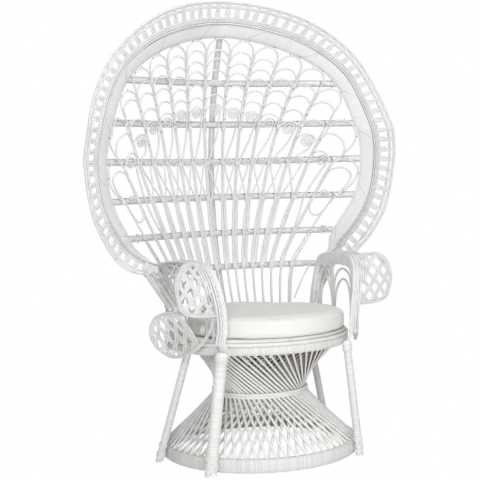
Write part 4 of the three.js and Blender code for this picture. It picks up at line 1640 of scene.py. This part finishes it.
# The way from the scroll's open side into its bowl, the bowl's depth, and the steps of the scroll's run at
# which the bowl's lower and upper edges start and end
INWARD = Vector((-0.82, 0.57, 0))
BOWL_DEPTH = 17
BOWL_LOWER = (34, 107)
BOWL_UPPER = (158, 109)


def on_bowl(along, across):
    """A place on the bowl that the scroll holds, between its lower and its upper run."""
    low = SCROLL_RUN[int(mix(*BOWL_LOWER, along))]
    high = SCROLL_RUN[int(mix(*BOWL_UPPER, along))]
    depth = 4 * across * (1 - across) * BOWL_DEPTH * math.sin(math.pi * mix(0.15, 0.95, along))
    return low.lerp(high, across) + INWARD * depth


def arm_scroll():
    """The low loop below the hoop, with a bowl of crossed canes in it."""
    weave = Weave()
    weave.twisted(spline(SCROLL, 120), 3.1, 0.09, 2.8)
    for turn in (1, -1):
        for k in range(7):
            for strand in (-0.022, 0.022):
                route = []
                for t in range(21):
                    across = t / 20
                    along = 0.19 * k + strand + turn * 0.35 * (across - 0.5)
                    if 0.04 <= along <= 0.98:
                        over = 1.3 * turn * math.sin(math.pi * (t / 4.6 + k))
                        route.append(on_bowl(along, across) + INWARD * over)
                if len(route) > 3:
                    weave.ribbon(route, 6.0, 1.8, INWARD)
    for along, off in ((0.03, -2.2), (0.1, -1.2)):
        route = [on_bowl(along, t / 12) + INWARD * off for t in range(13)]
        weave.ribbon(route, 11.0, 2.0, INWARD)
    return weave


# Each strut's place on the rim's tail, on the left scroll, and its height on the right arm's rear post
STRUTS = ((0.036, 0.737, 104), (0.019, 0.773, 84), (0.002, 0.80, 64))
REAR_POST_X = 274
REAR_POST_Y = 64
ABOVE_SCROLL = Vector((0, 0, 13))
STRUT_R = 7.6
STRUT_TURN = 4.6


def arm_strut(tail, low):
    """A bound strut from the rim's tail down to a place on the arm."""
    weave = Weave()
    edge = edge_at(OUTER_HALF, tail)
    high = Vector((edge.x, rim_y(edge.x, edge.y) - 0.6 - RIM_BAND_T / 2, edge.y + 4))
    weave.wound(spaced([high, low], 20), STRUT_R, STRUT_TURN, 0.6, 12)
    return weave


def left_of(weave):
    """The same weaving on the chair's other side."""
    other = Weave()
    other.points = [Vector((-p.x, p.y, p.z)) for p in weave.points]
    other.faces = [tuple(reversed(face)) for face in weave.faces]
    other.map = [tuple(reversed(corners)) for corners in weave.map]
    return other


def both_sides(weave, name, material, slot, node):
    left = left_of(weave)
    weave.piece(name + "_right", material, slot, [node + "_right"])
    left.piece(name + "_left", material, slot, [node + "_left"])


both_sides(arm_arch(), "arm_band_bound", BAND, "rim_band", "arm_arch")
both_sides(arm_panel(), "arm_panel_canes", ARM_CANE, "painted_cane", "arm_panel")
both_sides(arm_hoop(), "arm_hoop_twisted", ARM_CANE, "painted_cane", "arm_hoop")
right_net = arm_net(ROOF_EDGE["right"])
right_net.piece("arm_roll_lattice_right", ARM_CANE, "painted_cane", ["arm_net_right"])
left_net = left_of(arm_net(ROOF_EDGE["left"]))
left_net.piece("arm_roll_lattice_left", ARM_CANE, "painted_cane", ["arm_net_left"])
both_sides(arm_scroll(), "arm_scroll_loop", ARM_CANE, "painted_cane", "arm_scroll")
for k, (tail, scroll, height) in enumerate(STRUTS):
    name = "arm_strut_%d" % (k + 1)
    right = arm_strut(tail, to_arm(REAR_POST_X, REAR_POST_Y, height))
    right.piece(name + "_bound_right", PEEL, "wound_peel", [name + "_right"])
    left = left_of(arm_strut(tail, SCROLL_RUN[int(RUN_STEPS * scroll)] + ABOVE_SCROLL))
    left.piece(name + "_bound_left", PEEL, "wound_peel", [name + "_left"])

# Floor, light and camera
FLOOR_WHITE = (0.9, 0.9, 0.9, 1)
WHITE = (1, 1, 1, 1)
SKY_LIGHT = 0.42


def pale_paper():
    """Pale paper that the camera and reflections see as white, and that still takes shadows."""
    f = Finish(bpy.data.materials.new("pale_paper"))
    f.shader.inputs["Base Color"].default_value = FLOOR_WHITE
    f.shader.inputs["Roughness"].default_value = 0.9
    glow = f.node("ShaderNodeEmission", {}, {"Strength": 1.0})
    camera_ray = f.node("ShaderNodeLightPath", out="Is Camera Ray")
    seen = camera_ray + camera_ray.other("Is Glossy Ray")
    paper = Wire(f, f.shader.outputs[0])
    shown = f.node("ShaderNodeMixShader", {}, {0: seen, 1: paper, 2: glow})
    f.tree.links.new(shown.socket, f.tree.nodes["Material Output"].inputs["Surface"])
    return f.owner


def soft_sky():
    """An even sky that lights the chair softly, and that the camera sees as white."""
    f = Finish(bpy.data.worlds.new("soft_studio"))
    ground = f.tree.nodes["Background"]
    ground.inputs["Color"].default_value = WHITE
    ground.inputs["Strength"].default_value = SKY_LIGHT
    light = Wire(f, ground.outputs[0])
    white = f.node("ShaderNodeBackground", {}, {"Color": WHITE, "Strength": 1.0})
    camera_ray = f.node("ShaderNodeLightPath", out="Is Camera Ray")
    seen = camera_ray + camera_ray.other("Is Transmission Ray")
    shown = f.node("ShaderNodeMixShader", {}, {0: seen, 1: light, 2: white})
    f.tree.links.new(shown.socket, f.tree.nodes["World Output"].inputs["Surface"])
    return f.owner


bpy.ops.object.select_all(action="DESELECT")
bpy.ops.mesh.primitive_plane_add(size=14, location=(0, 0, 0))
floor = bpy.context.object
floor.name = "studio_floor"
floor.data.materials.append(pale_paper())
bpy.context.scene.world = soft_sky()


def lamp(name, place, aim, size, watts):
    light = bpy.data.lights.new(name, "AREA")
    light.shape = "DISK"
    light.size = size
    light.energy = watts
    thing = bpy.data.objects.new(name, light)
    bpy.context.scene.collection.objects.link(thing)
    thing.location = place
    thing.rotation_euler = (Vector(aim) - Vector(place)).to_track_quat("-Z", "Y").to_euler()


lamp("key_softbox", (-1.9, -3.2, 1.7), (0, 0, 0.4), 1.0, 38)
lamp("fill_softbox", (-0.4, -2.1, 0.2), (0, 0, 0.15), 0.8, 11.5)
lamp("top_softbox", (0, -1.0, 2.6), (0, -0.1, 0.4), 1.0, 14)

# The camera's place in metres and its turns; its lens is given in pixels of the picture
EYE = Vector((-1.370, -2.948 + FRAME_BACK * MM, 0.808))
YAW = math.radians(24.19)
PITCH = math.radians(1.96)
ROLL = math.radians(-2.12)
LENS_PIXELS = 985.2
PICTURE_PIXELS = 480
SENSOR = 36
camera_data = bpy.data.cameras.new("photo_camera")
camera_data.sensor_width = SENSOR
camera_data.lens = LENS_PIXELS / PICTURE_PIXELS * SENSOR
camera = bpy.data.objects.new("photo_camera", camera_data)
bpy.context.scene.collection.objects.link(camera)
ahead = Vector((math.sin(YAW) * math.cos(PITCH), math.cos(YAW) * math.cos(PITCH), -math.sin(PITCH)))
right = Vector((math.cos(YAW), -math.sin(YAW), 0))
up = right.cross(ahead)
rolled_right = right * math.cos(ROLL) + up * math.sin(ROLL)
rolled_up = up * math.cos(ROLL) - right * math.sin(ROLL)
camera.rotation_euler = Matrix((rolled_right, rolled_up, -ahead)).transposed().to_euler()
camera.location = EYE
bpy.context.scene.camera = camera
bpy.context.scene.view_settings.view_transform = "Standard"
